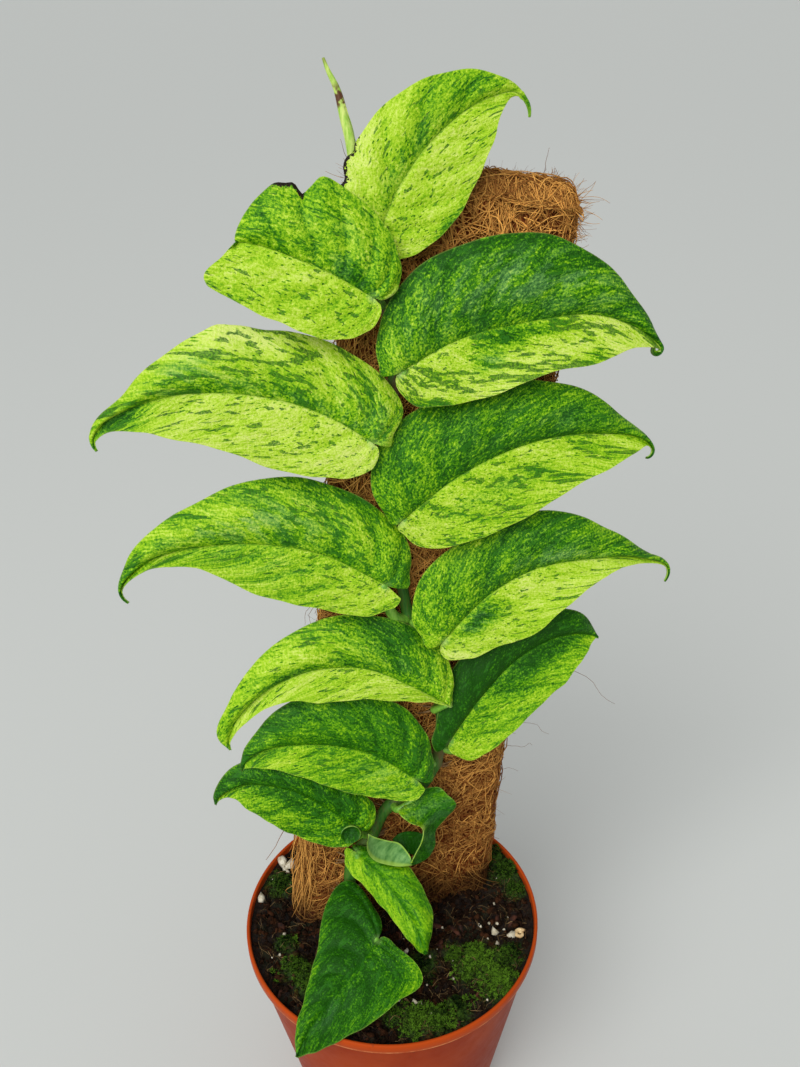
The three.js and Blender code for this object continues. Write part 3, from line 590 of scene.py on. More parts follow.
class Nodes:
    """Short way to add and join shader nodes in one material."""

    def __init__(self, name):
        self.material = bpy.data.materials.new(name)
        self.material.use_nodes = True
        self.tree = self.material.node_tree
        self.tree.nodes.clear()
        self.output = self.add("ShaderNodeOutputMaterial")

    def add(self, kind, **settings):
        node = self.tree.nodes.new(kind)
        for key, value in settings.items():
            setattr(node, key, value)
        return node

    def put(self, socket, value):
        """Set a socket to a number, colour or vector, or join it to another node's output."""
        if isinstance(value, bpy.types.NodeSocket):
            self.tree.links.new(value, socket)
        else:
            socket.default_value = tint(value)

    def fill(self, node, **values):
        """Put a value or a join on each named socket of a node."""
        for name, value in values.items():
            self.put(node.inputs[name.replace("_", " ")], value)

    def math(self, operation, first, second=0.0, third=0.0):
        node = self.add("ShaderNodeMath", operation=operation)
        for socket, value in zip(node.inputs, (first, second, third)):
            self.put(socket, value)
        return node.outputs[0]

    def chain(self, operation, parts):
        """Join parts by an operation, one after the other."""
        result = parts[0]
        for part in parts[1:]:
            result = self.math(operation, result, part)
        return result

    def times(self, *parts):
        return self.chain("MULTIPLY", parts)

    def total(self, *parts):
        return self.chain("ADD", parts)

    def line(self, value, slope, start):
        """The value times the slope, plus the start."""
        return self.math("MULTIPLY_ADD", value, slope, start)

    def about_zero(self, value, strength):
        """Shift a noise from about a half to about zero, and scale it."""
        return self.times(self.math("SUBTRACT", value, 0.5), strength)

    def vector(self, operation, first, second):
        node = self.add("ShaderNodeVectorMath", operation=operation)
        self.put(node.inputs[0], first)
        self.put(node.inputs[1], second)
        return node.outputs[0]

    def attribute(self, name, output="Vector"):
        """What the piece stores at each point under a name."""
        return self.add("ShaderNodeAttribute", attribute_name=name).outputs[output]

    def split(self, vector):
        """The three numbers of a vector."""
        node = self.add("ShaderNodeSeparateXYZ")
        self.put(node.inputs[0], vector)
        return node.outputs[0], node.outputs[1], node.outputs[2]

    def object_place(self):
        return self.add("ShaderNodeTexCoord").outputs["Object"]

    def noise(self, vector, scale, detail=2.0, roughness=0.5, flat=False, output=0):
        """Noise in space, or on a plane; scale is one number or one for each direction."""
        node = self.add("ShaderNodeTexNoise", noise_dimensions="2D" if flat else "3D")
        if isinstance(scale, tuple):
            vector = self.vector("MULTIPLY", vector, scale)
            scale = 1.0
        self.fill(node, Vector=vector, Scale=scale, Detail=detail, Roughness=roughness)
        return node.outputs[output]

    def blotches(self, vector, scale, amount, low, high):
        """Separate blotches: a share of the cells of a Voronoi pattern, each with its own size."""
        sharpness = 14.0
        node = self.add("ShaderNodeTexVoronoi", voronoi_dimensions="2D")
        self.fill(node, Vector=self.vector("MULTIPLY", vector, scale), Scale=1.0)
        chance, size, _ = self.split(node.outputs["Color"])
        radius = self.line(size, high - low, low)
        inside = self.times(self.math("SUBTRACT", radius, node.outputs["Distance"]), sharpness)
        return self.times(self.steps(inside, 0.0, 1.0), self.math("LESS_THAN", chance, amount))

    def steps(self, value, low, high):
        """Ease from 0 at low to 1 at high."""
        node = self.add("ShaderNodeMapRange", interpolation_type="SMOOTHSTEP")
        self.fill(node, Value=value, From_Min=low, From_Max=high)
        return node.outputs["Result"]

    def fall(self, value, low, high):
        """Ease from 1 at low to 0 at high."""
        return self.math("SUBTRACT", 1.0, self.steps(value, low, high))

    def mix(self, share, first, second):
        """The first colour, with a share of the second over it."""
        node = self.add("ShaderNodeMix", data_type="RGBA")
        self.put(node.inputs[0], share)
        self.put(node.inputs[6], first)
        self.put(node.inputs[7], second)
        return node.outputs[2]

    def ramp(self, value, *stops):
        """The colour at a value, eased between stops that each have a place and a colour."""
        node = self.add("ShaderNodeValToRGB")
        elements = node.color_ramp.elements
        while len(elements) < len(stops):
            elements.new(0.5)
        for element, (place, color) in zip(elements, stops):
            element.position = place
            element.color = tint(color)
        self.put(node.inputs["Fac"], value)
        return node.outputs["Color"]

    def bump(self, height, strength, distance):
        node = self.add("ShaderNodeBump")
        self.fill(node, Strength=strength, Distance=distance, Height=height)
        return node.outputs["Normal"]

    def finish(self, color, roughness, gloss, normal=None):
        """Join everything to one surface and return the material."""
        shader = self.add("ShaderNodeBsdfPrincipled")
        self.fill(shader, Base_Color=color, Roughness=roughness, Specular_IOR_Level=gloss)
        if normal is not None:
            self.put(shader.inputs["Normal"], normal)
        self.tree.links.new(shader.outputs[0], self.output.inputs["Surface"])
        return self.material


def shade(hex_code):
    """Turn a web colour into linear red, green and blue, and an alpha of one."""
    parts = [int(hex_code[i:i + 2], 16) / 255 for i in (1, 3, 5)]
    linear = [part / 12.92 if part <= 0.04045 else ((part + 0.055) / 1.055) ** 2.4 for part in parts]
    return (*linear, 1.0)


def tint(value):
    """Turn a web colour into numbers, and leave any other value as it is."""
    return shade(value) if isinstance(value, str) else value


def leaf_material(sizes):
    """Marbled leaf: patches, streaks along the side veins and fine grains shift the greenness on a ramp.

    Where a leaf is marked for sheen, bands of greyish green are painted over the marbling as painted sheen,
    and the furrows between the side veins are painted darker as painted shade. Flecks and lines come on top.
    """
    n = Nodes("marbled_leaf")
    green, sheen_share, fleck_amount = n.split(n.attribute("leaf_tone"))
    flat = n.attribute("blade_flat")
    plain_grain = n.attribute("blade_grain")
    _, _, furrow_shade = n.split(flat)
    _, _, contrast = n.split(plain_grain)
    sway = n.vector("SUBTRACT", n.noise(flat, 0.25, 5.0, 0.7, True, 1), (0.5, 0.5, 0.5))
    grain = n.vector("ADD", plain_grain, n.vector("MULTIPLY", sway, (4, 4, 0)))
    near = n.vector("ADD", plain_grain, n.vector("MULTIPLY", sway, (1.6, 1.6, 0)))
    patches = n.noise(grain, (0.09, 0.05, 1), 2.0, 0.5, True)
    streaks = n.noise(grain, (0.25, 0.22, 1), 2.0, 0.5, True)
    dabs = n.noise(near, (0.85, 0.6, 1), 3.0, 0.65, True)
    specks = n.noise(flat, 1.25, 2.0, 0.7, True)
    pale = n.fall(green, 0.25, 0.6)
    strength = n.times(n.line(pale, -0.38, 1.08), contrast)
    mottle = n.total(n.about_zero(streaks, 0.42), n.about_zero(dabs, 0.9), n.about_zero(specks, 0.85))
    # Painted shade: the leaf is darkened along the furrows between the side veins.
    mottle = n.total(mottle, n.times(furrow_shade, 0.16))
    dots = n.times(n.blotches(near, (0.66, 0.8, 1), 0.34, 0.05, 0.34), n.line(pale, 0.26, 0.2))
    level = n.total(green, n.about_zero(patches, 0.45), n.times(mottle, strength), dots)
    color = n.ramp(level, *((place, getattr(sizes, tone)) for place, tone in MARBLING))
    bands = n.steps(n.noise(grain, (0.22, 0.1, 1), 3.0, 0.65, True), 0.42, 0.62)
    sheen = n.ramp(level, (0.2, "#a3c07a"), (0.6, "#6c9a5a"), (1.0, "#3d6e3a"))
    # Painted sheen: greyish green bands laid over the marbling where the leaf's sheen share is high.
    color = n.mix(n.times(sheen_share, bands, 0.55), color, sheen)
    cluster = n.times(fleck_amount, n.steps(patches, 0.38, 0.6), 0.272)
    color = leaf_flecks(n, color, near, cluster, specks)
    color = leaf_lines(n, color, pale, specks)
    normal = n.bump(n.total(n.times(dabs, 1.1), streaks, specks), 0.5, 0.0006)
    return n.finish(color, n.line(specks, 0.3, 0.3), 0.12, normal)


def leaf_flecks(n, color, near, cluster, specks):
    """Dark green flecks, drawn out along the side veins and closer together where they cluster."""
    flecks = n.steps(n.total(n.noise(near, (0.24, 0.42, 1), 2.0, 0.5, True), cluster), 0.665, 0.7)
    share = n.times(flecks, n.line(n.steps(specks, 0.4, 0.65), -0.35, 0.9))
    return n.mix(share, color, n.ramp(specks, (0.35, "#1a520a"), (0.65, "#357a14")))


def leaf_lines(n, color, pale, specks):
    """The darker midrib, the pale knot at the stalk, the pale margin and the scorched edge."""
    _, _, from_midrib = n.split(n.attribute("blade_place"))
    torn, from_margin, from_base = n.split(n.attribute("leaf_wear"))
    line_tone = n.ramp(pale, (0.0, "#1d5a0a"), (0.8, "#6f9a30"))
    color = n.mix(n.times(n.fall(from_midrib, 0.2, 0.9), 0.38), color, line_tone)
    color = n.mix(n.times(n.fall(from_base, 0.4, 2.8), n.line(pale, 0.4, 0.16)), color, "#b3cf80")
    color = n.mix(n.times(n.fall(from_margin, 0.1, 0.45), 0.15), color, "#c2cf66")
    ragged = n.total(from_margin, n.about_zero(specks, 3.0))
    burnt = n.fall(n.math("SUBTRACT", ragged, torn), -0.15, 0.15)
    return n.mix(n.times(burnt, n.math("GREATER_THAN", torn, 0.12)), color, "#1c130c")


def underside_material():
    """Pale dull underside with faint streaks along the side veins."""
    n = Nodes("leaf_underside")
    grain = n.attribute("blade_grain")
    mottle = n.noise(grain, (0.5, 0.2, 1), 4.0, 0.6, True)
    color = n.ramp(mottle, (0.3, "#3f7430"), (0.7, "#7aa85c"))
    _, from_margin, _ = n.split(n.attribute("leaf_wear"))
    color = n.mix(n.times(n.fall(from_margin, 0.2, 0.7), 0.6), color, "#a9cc4a")
    return n.finish(color, 0.5, 0.3, n.bump(mottle, 0.3, 0.0005))


def stalk_material():
    """Smooth green stalk, a little darker in long streaks."""
    n = Nodes("leaf_stalk")
    streak = n.noise(n.object_place(), (900, 900, 160), 3.0, 0.6)
    color = n.ramp(streak, (0.35, "#539026"), (0.65, "#80b23c"))
    return n.finish(color, 0.38, 0.35, n.bump(streak, 0.2, 0.0003))


def stem_material():
    """Green stem with brown corky streaks."""
    n = Nodes("climbing_stem")
    place = n.object_place()
    cork = n.noise(place, (700, 700, 120), 4.0, 0.65)
    color = n.ramp(cork, (0.3, "#1d4a0d"), (0.5, "#37701a"), (0.64, "#4d5f20"), (0.78, "#453319"))
    color = n.mix(n.steps(n.noise(place, 45.0, 2.0), 0.5, 0.65), color, "#5a4326")
    return n.finish(color, 0.6, 0.3, n.bump(cork, 0.4, 0.0005))


def pot_material(sizes):
    """Moulded orange plastic, cloudy and scuffed. The lip is painted brighter as painted highlight, the line
    under it is lighter for dust and painted highlight, and the inside above the mix is darker for soil stain
    and painted shade.
    """
    n = Nodes("terracotta_plastic")
    place = n.object_place()
    x, y, z = n.split(place)
    radius = n.math("SQRT", n.total(n.times(x, x), n.times(y, y)))
    cloud = n.noise(place, 26.0, 4.0, 0.6)
    dust_and_light = n.noise(place, 190.0, 5.0, 0.7)
    base = n.mix(n.steps(cloud, 0.35, 0.7), sizes.pot_color, sizes.pot_color_light)
    # Painted highlight: the lip is a brighter orange than the wall.
    base = n.mix(n.times(n.steps(z, 0.0955, 0.0962), 0.7), base, sizes.lip_highlight)
    # A lighter line under the lip: partly dust and partly painted highlight.
    under_lip = n.times(n.steps(z, 0.0953, 0.096), n.fall(z, 0.0965, 0.097))
    base = n.mix(n.times(under_lip, n.steps(dust_and_light, 0.35, 0.6), 0.6), base, "#e39a66")
    # The inside above the mix is darkened: partly soil stain and partly painted shade.
    outside = n.line(z, pot_slope(sizes), sizes.foot_radius)
    outer = n.math("MINIMUM", outside, sizes.rim_radius - 1.0 * MM)
    inside = n.steps(n.math("SUBTRACT", outer, radius), 0.0002, 0.0008)
    base = n.mix(n.times(inside, n.line(dust_and_light, 0.5, 0.6)), base, "#2c160d")
    specks = n.times(n.steps(dust_and_light, 0.62, 0.7), n.steps(z, 0.07, 0.1), 0.45)
    color = n.mix(specks, base, "#4a3427")
    bump = n.bump(n.total(dust_and_light, n.times(cloud, 2.0)), 0.15, 0.0004)
    return n.finish(color, n.line(dust_and_light, 0.3, 0.25), 0.03, bump)


def darker_foot(n, color):
    """Darken the coir over the last millimetres above the mix, with a ragged edge."""
    place = n.object_place()
    _, _, z = n.split(place)
    ragged = n.total(z, n.about_zero(n.noise(place, 90.0, 3.0, 0.6), 0.03))
    return n.mix(n.times(n.fall(ragged, 0.095, 0.111), 0.75), color, "#26150a")


def fibre_material(name, dark, light, in_soil=False):
    """Each fibre has its own tone from dark to light, with finer streaks. On the coir and the moss the tone
    also holds painted light and shade.
    """
    n = Nodes(name)
    tone = n.attribute("fibre_tone", "Fac")
    mottle = n.noise(n.object_place(), 420.0, 3.0, 0.6)
    value = n.total(n.times(tone, 0.9), n.about_zero(mottle, 0.5))
    middle = tuple(0.62 * a + 0.38 * b for a, b in zip(dark, light))
    color = n.ramp(value, (0.0, dark), (0.5, middle), (1.0, light))
    if in_soil:
        color = darker_foot(n, color)
    return n.finish(color, 0.7, 0.1)


def matting_material(dark, light):
    """The board under its loose fibres: crossed streaks, with the low gaps between them painted dark reddish
    as painted shade.
    """
    n = Nodes("coir_matting")
    place = n.object_place()
    height = None
    for turn in (0.3, 1.2, 2.3):
        node = n.add("ShaderNodeMapping")
        n.fill(node, Vector=place, Rotation=(0.2, turn, 0.1), Scale=(1500, 1500, 130))
        streak = n.noise(node.outputs[0], 1.0, 2.0, 0.5)
        height = streak if height is None else n.math("MAXIMUM", height, streak)
    # Painted shade: the lowest parts of the streaks, the gaps, get the darkest reddish brown.
    color = darker_foot(n, n.ramp(height, (0.42, "#3a1a0b"), (0.58, dark), (0.85, light)))
    return n.finish(color, 0.95, 0.15, n.bump(height, 1.0, 0.001))


def green_film(n, color, fine):
    """Spread moss green over the parts marked mossy, broken up by the fine noise."""
    share = n.total(n.attribute("mossy", "Fac"), n.about_zero(fine, 1.2))
    tone = n.ramp(fine, (0.35, "#16280a"), (0.7, "#4d7422"))
    return n.mix(n.times(n.steps(share, 0.3, 0.8), 0.8), color, tone)


def soil_material(dark):
    """Damp potting mix: near black, with brown crumbs, green algae and a few light grains."""
    n = Nodes("potting_mix")
    place = n.object_place()
    crumbs = n.noise(place, 800.0, 6.0, 0.7)
    broad = n.noise(place, 110.0, 3.0, 0.6)
    color = n.ramp(crumbs, (0.42, dark), (0.58, "#2a190e"), (0.7, "#4a3220"), (0.82, "#7a6648"))
    color = n.mix(n.times(n.steps(broad, 0.5, 0.64), 0.55), color, "#1c260b")
    color = green_film(n, color, crumbs)
    return n.finish(color, 0.65, 0.25, n.bump(crumbs, 1.0, 0.002))


def plain_material(name, low, high, roughness, scale=300.0):
    """Two mottled shades, for grains, chips and wood."""
    n = Nodes(name)
    mottle = n.noise(n.object_place(), scale, 4.0, 0.6)
    color = n.ramp(mottle, (0.35, low), (0.65, high))
    return n.finish(color, roughness, 0.3, n.bump(mottle, 0.5, 0.0005))


def crumb_material():
    """Peat crumbs: near black to reddish brown in patches, with light flecks."""
    n = Nodes("peat_crumb")
    place = n.object_place()
    fine = n.noise(place, 1500.0, 4.0, 0.7)
    broad = n.noise(place, 230.0, 3.0, 0.6)
    color = n.ramp(fine, (0.35, "#0b0603"), (0.6, "#2b1a0f"), (0.8, "#6a4e33"))
    color = n.mix(n.times(n.steps(broad, 0.5, 0.62), 0.8), color, "#4a2b18")
    color = green_film(n, color, fine)
    return n.finish(color, 0.9, 0.08, n.bump(fine, 1.0, 0.001))


def found_material(name, make):
    """Use the named material if it exists already, and make it if not."""
    found = bpy.data.materials.get(name)
    return found if found is not None else make()


def midrib_line(leaf, share):
    """Place on the midrib, the angle it runs at and the share of the hook, which curls downwards."""
    line = leaf["midrib"]
    place = along(line, share)
    ahead = along(line, share + 0.001) - along(line, share - 0.001)
    heading = np.arctan2(ahead[..., 1], ahead[..., 0])
    length, degrees = leaf["hook"]
    start = 1 - (length - leaf["beyond"]) / line_length(line)
    curled = np.clip((share - start) / (1 - start), 0, 1)
    root = along(line, start)
    step = along(line, start + 0.001) - along(line, start - 0.001)
    steps = 300
    fine = np.linspace(0, 1, steps)
    angle = math.atan2(step[1], step[0]) - leaf["side"] * math.radians(degrees) * fine
    x = np.cumsum(np.cos(angle)) * length / steps
    y = np.cumsum(np.sin(angle)) * length / steps
    on_hook = curled > 0
    place[..., 0] = np.where(on_hook, root[0] + np.interp(curled, fine, x), place[..., 0])
    place[..., 1] = np.where(on_hook, root[1] + np.interp(curled, fine, y), place[..., 1])
    heading = np.where(on_hook, np.interp(curled, fine, angle), heading)
    return place, heading, curled


def blade_grid(rows, columns):
    """Shares t from base to tip, closer near the tip, and reaches r, closer at the midrib and the margin."""
    near_tip = [np.linspace(0.9, 0.98, 19)[1:], np.linspace(0.98, 1, 29)[1:]]
    t = np.concatenate([np.linspace(0, 0.9, rows - 46), *near_tip])
    c = np.linspace(-1, 1, columns)
    r = np.sign(c) * (1 - np.cos(np.pi * np.abs(c))) / 2
    return t[:, None] * np.ones(columns), np.ones(rows)[:, None] * r


def blade_body(t):
    """Nothing at the base and the tip, and one over most of the way between."""
    return np.clip(3.4 * np.sin(np.pi * np.clip(t, 0, 1)), 0, 1)


def blade_outline(leaf, t, r, relief, seed):
    """Places across and up of a blade's points, its width there, the share of its hook and its base.

    The point is the midrib point at t to the power 1.5, plus r times the width along a line that turns from
    165 degrees at the base to 33 degrees at the tip. On a tip that curls past its solid the line turns
    square to the midrib instead.
    """
    place, heading, curled = midrib_line(leaf, t**1.5)
    is_upper = r > 0
    swing = 165 - 132 * t**0.75
    if leaf["beyond"]:
        swing = swing + (90 - swing) * ease(curled, 0, 0.3)
    angle = heading + leaf["side"] * np.where(is_upper, 1, -1) * np.radians(swing)
    upper = smooth(STATIONS, leaf["upper"], t)
    for middle, depth, spread in leaf["bites"]:
        upper = upper - depth * bell(t, middle, spread)
    width = np.where(is_upper, upper, smooth(STATIONS, leaf["lower"], t))
    ripple = np.sin(23 * t + seed) + 0.6 * np.sin(51 * t + 2.1 * seed + 3 * is_upper)
    width = width + 0.25 * relief * ripple * blade_body(t)
    if leaf["beyond"]:
        width = width * (1 - 0.6 * ease(curled, 0, 0.4))
        width = width + np.where(is_upper, 0.2, leaf["curl_fill"]) * np.sin(np.pi * curled)
    x = place[..., 0] + np.abs(r) * width * np.cos(angle)
    y = place[..., 1] + np.abs(r) * width * np.sin(angle)
    return x, y, width, curled, place[0, 0]


def blade_surface(leaf, t, r, relief, seed):
    """Place of each point of a blade, across, up and out from its plane, and what its finish needs.

    Its distance off the board is the leaf's lift and lean, less its droop, plus a crest and tuck on the
    upper half and a flare on the lower half. The finer relief is the sunken midrib, the swellings between
    the side veins, which sweep on towards the tip, and the waves of the margin.
    """
    x, y, width, curled, base = blade_outline(leaf, t, r, relief, seed)
    share = t**1.5
    is_upper = r > 0
    reach = np.abs(r)
    body = blade_body(t)
    arch = np.sin(np.pi * (0.12 + 0.8 * share))
    bulge = np.maximum(np.sin(np.pi * reach), 0)
    z = leaf["lift"] + leaf["lean"] * (leaf["midrib"][0][1] - y) + 1.5 * curled**2
    z = z - leaf["droop"] * np.maximum(share - 0.35, 0) ** 2
    upper_rise = leaf["crest"] * bulge - leaf["tuck"] * reach**2
    lower_rise = leaf["flare"] * reach**1.6 - 0.8 * bulge
    z = z + arch * np.where(is_upper, upper_rise, lower_rise)
    base_share = t**0.8
    slant = np.where(is_upper, 0.36, 0.52) * base_share / (base_share + 0.12)
    vein = 1 - (1 - base_share) / (1 - slant * reach**1.15)
    groove = bell(reach * width, 0, 1.3) * np.clip(6 * (1 - t), 0, 1)
    quilt = np.abs(np.sin(np.pi * (6.3 * vein + 0.3 * is_upper + 0.13 * seed))) ** 0.8
    swell = np.where(is_upper, 1.1, 0.65) * bulge**0.8 * quilt
    wave = np.sin(14 * t + 1.7 * seed + 2 * is_upper) * reach**3 + 0.5 * np.sin(31 * t + seed) * reach**5
    flat = stack(x, y, 9.7 * seed)
    fine = 0.14 * lattice_noise(flat * 0.45, 2) + 0.1 * lattice_noise(flat * 0.9, 3)
    z = z + relief * body * (-0.48 * groove + swell + 0.5 * wave + fine)
    torn = np.zeros_like(t)
    for middle, spread, scorched in leaf["scorch"]:
        torn = np.maximum(torn, scorched * np.exp(-(((t - middle) / spread) ** 4)) * is_upper)
    green, sheen_share, flecks = leaf_tones(leaf, share, r)
    facts = leaf_facts(
        place=(r, vein, reach * width),
        grain=(vein * line_length(leaf["midrib"]) + 137.0 * seed, 1.3 * r * width, leaf["contrast"]),
        # Its third number marks the furrows between the side veins, where the finish paints shade.
        flat=(x + 57.0 * seed, y + 31.0 * seed, bell(quilt, 0, 0.3) * np.sqrt(bulge) * body),
        tone=(green + 0.3 * ease(curled, 0, 0.5), sheen_share, flecks),
        wear=(torn, (1 - reach) * width, np.hypot(x - base[0], y - base[1])),
    )
    return stack(x, y, z), facts


def leaf_facts(place, grain, flat, tone, wear):
    """What a leaf's finish reads at each point, as five threes.

    They are the reach, the vein and the distance from the midrib; the place along and beside the veins and
    the contrast; the flat place and the mark of the furrows, where painted shade darkens the leaf; the
    greenness, the share of painted sheen and the share of flecks; and the width of the scorch and the
    distances from the margin and the base.
    """
    threes = {
        "blade_place": place, "blade_grain": grain, "blade_flat": flat, "leaf_tone": tone, "leaf_wear": wear,
    }
    return {name: stack(*values) for name, values in threes.items()}


def leaf_tones(leaf, share, r):
    """Greenness, painted sheen and flecks: the leaf's values for each half, changed by its patches."""
    half = ease(r, -0.012, 0.012)
    green = leaf["green"][1] + (leaf["green"][0] - leaf["green"][1]) * half
    sheen_share = np.zeros_like(green)
    for middle, reach, spread, reach_spread, greener, more_sheen in leaf["patches"]:
        patch = np.exp(-(((share - middle) / spread) ** 2) - ((r - reach) / reach_spread) ** 2)
        if reach:
            patch = patch * np.where(reach > 0, half, 1 - half)
        green = green + greener * patch
        sheen_share = sheen_share + more_sheen * patch
    flecks = leaf["flecks"][1] + (leaf["flecks"][0] - leaf["flecks"][1]) * half
    return green, sheen_share, flecks


NO_STALK = (np.zeros((0, 3)), [np.zeros((0, 4), int)])


def stem_radius(up):
    """Radius of the stem at a height: a slow taper with a ring of swelling at each leaf."""
    up = np.asarray(up, float)
    rings = [0.5 * bell(up, node, 2.5) for node in NODES]
    return 2.4 - 0.5 * np.clip(up / 290, 0, 1) + np.max(rings, axis=0)


def beside_stem(up, turn_degrees, gap):
    """Point off the stem's surface at a height, turned about the stem."""
    shares = np.linspace(0, 1, 2000)
    curve = along(STEM_PATH, shares)
    share = shares[np.argmin(np.abs(curve[:, 1] - up))]
    middle = np.append(along(STEM_PATH, share), STEM_STAND_OFF)
    ahead = np.append(along(STEM_PATH, share + 0.005), STEM_STAND_OFF) - middle
    out = np.array([0, 0, 1.0])
    aside = unit(np.cross(ahead, out))
    turn = math.radians(turn_degrees)
    return middle + (out * math.cos(turn) + aside * math.sin(turn)) * (stem_radius(up) + gap)


def stalk_rod(node, turn, bend, base, radii, steps):
    """Rod on a cubic from inside the stem, square out of it and by way of the bend, to the blade's base."""
    root = beside_stem(node, turn, -1.5)
    away = beside_stem(node, turn, 3.5)
    bend = away if bend is None else np.array(bend, float)
    s = np.linspace(0, 1, steps)[:, None]
    path = (1 - s) ** 3 * root + 3 * s * (1 - s) ** 2 * away + 3 * s**2 * (1 - s) * bend + s**3 * base
    return rods(path[None], np.linspace(*radii, steps)[None], STALK_SIDES)


def blade_piece(name, surface, facts, thickness, stalk=NO_STALK, back_rows=0):
    """Make one leaf: the thickened blade and its stalk, with the values that the finish reads.

    Material 0 is the marbled face, 1 the underside and 2 the stalk. back_rows counts rows at the tip end
    that are turned over, so that the underside shows on their front.
    """
    points, front, back = solid_sheet(surface, thickness)
    all_points, faces = join_parts([(points, [front, back]), stalk])
    piece = new_piece(name, from_board(all_points), faces)

    def both_sides(values):
        flat = values.reshape(-1, values.shape[-1])
        return np.pad(np.concatenate([flat, flat]), ((0, len(stalk[0])), (0, 0)))

    for key, values in facts.items():
        add_attribute(piece, key, "FLOAT_VECTOR", both_sides(values))
    place = facts["blade_place"]
    add_uv(piece, both_sides(stack((place[..., 0] + 1) / 2, place[..., 1])))
    rows, columns = surface.shape[:2]
    sheet = (rows - 1) * (columns - 1)
    turned_over = sheet - back_rows * (columns - 1)
    on_front = np.zeros(len(front), np.int32)
    on_back = np.ones(len(back), np.int32)
    on_front[turned_over:sheet] = 1
    on_back[turned_over:sheet] = 0
    on_stalk = np.full(sum(len(face) for face in stalk[1]), 2, np.int32)
    numbers = np.concatenate([on_front, on_back, on_stalk])
    piece.data.polygons.foreach_set("material_index", numbers)
    return piece


def dress(piece, nodes, materials):
    """Let the piece stand for its CAD nodes and give it its materials."""
    if nodes:
        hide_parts(*nodes)
    for material in materials:
        piece.data.materials.append(material)


def mirrored(surface, facts):
    """Run a blade's columns the other way, so that its front faces out."""
    return surface[:, ::-1], {key: values[:, ::-1] for key, values in facts.items()}


def leaf_materials(sizes):
    """The marbled face, the underside and the stalk."""
    return [
        found_material("marbled_leaf", lambda: leaf_material(sizes)),
        found_material("leaf_underside", underside_material),
        found_material("leaf_stalk", stalk_material),
    ]


def color_field(name, description, hex_code):
    """A colour that the user may change."""
    return bpy.props.FloatVectorProperty(
        name=name, description=description, default=shade(hex_code), subtype="COLOR", size=4, min=0, max=1,
    )


def length_field(name, description, millimetres):
    """A length that the user may change."""
    metres = millimetres * MM
    return bpy.props.FloatProperty(name=name, description=description, default=metres, unit="LENGTH")


class PlantSizes(bpy.types.PropertyGroup):
    """Sizes and colours of the plant, its board and its pot."""

    pot_height: length_field("Pot height", "Height of the pot over the surface it stands on", 100)
    rim_radius: length_field("Rim radius", "Radius over the pot's lip", 60)
    foot_radius: length_field("Foot radius", "Radius of the pot's flat foot", 41)
    pot_wall: length_field("Pot wall", "Thickness of the pot's wall", 1.5)
    lip_height: length_field("Lip height", "Height of the rolled lip", 4.5)
    soil_level: length_field("Soil level", "Height of the potting mix", 94)
    board_width: length_field("Board width", "Width of the coir board", 80)
    board_thickness: length_field("Board thickness", "Thickness of the coir board", 18)
    board_height: length_field("Board height", "Length of the board over the soil", 290)
    blade_thickness: length_field("Blade thickness", "Thickness of a leaf blade", 0.5)
    relief: bpy.props.FloatProperty(
        name="Leaf relief", description="Strength of the ribs and waves of the leaves", default=1.0,
        min=0.0, max=2.0, subtype="FACTOR",
    )
    fibres: bpy.props.IntProperty(
        name="Fibres", description="Number of loose fibres on the board's faces", default=15000, min=0,
    )
    pot_color: color_field("Pot colour", "Main colour of the pot", "#8a2b06")
    pot_color_light: color_field("Pot light colour", "Lighter clouds in the pot's plastic", "#9a3a12")
    # The lip's brighter orange is a painted highlight.
    lip_highlight: color_field("Lip colour", "Brighter orange of the lip", "#b94a18")
    soil_color: color_field("Soil colour", "Colour of the damp potting mix", "#120a06")
    coir_dark: color_field("Dark coir", "Darkest fibres of the board", "#662c0a")
    coir_light: color_field("Light coir", "Lightest fibres of the board", "#f4b65c")
    leaf_cream: color_field("Cream", "Palest marbling of the leaves", "#cede74")
    leaf_pale: color_field("Pale lime", "Pale marbling of the leaves", "#bdd852")
    leaf_lime: color_field("Lime", "Lime marbling of the leaves", "#a2c922")
    leaf_fresh: color_field("Fresh green", "Light green of the leaves", "#7bb00c")
    leaf_green: color_field("Green", "Middle green of the leaves", "#4d8b02")
    leaf_deep: color_field("Deep green", "Deep green of the leaves", "#286702")
    leaf_dark: color_field("Dark green", "Darkest green of the leaves", "#154800")


class Builder:
    """What the operators share: each builds its pieces from the plant's sizes."""

    def execute(self, context):
        self.build(context.scene.plant_sizes)
        return {"FINISHED"}


def pot_slope(sizes):
    """How far the pot's wall leans out for each millimetre of height."""
    under = (sizes.pot_height - sizes.lip_height) / MM
    return (sizes.rim_radius / MM - NECK_INSET - sizes.foot_radius / MM) / under


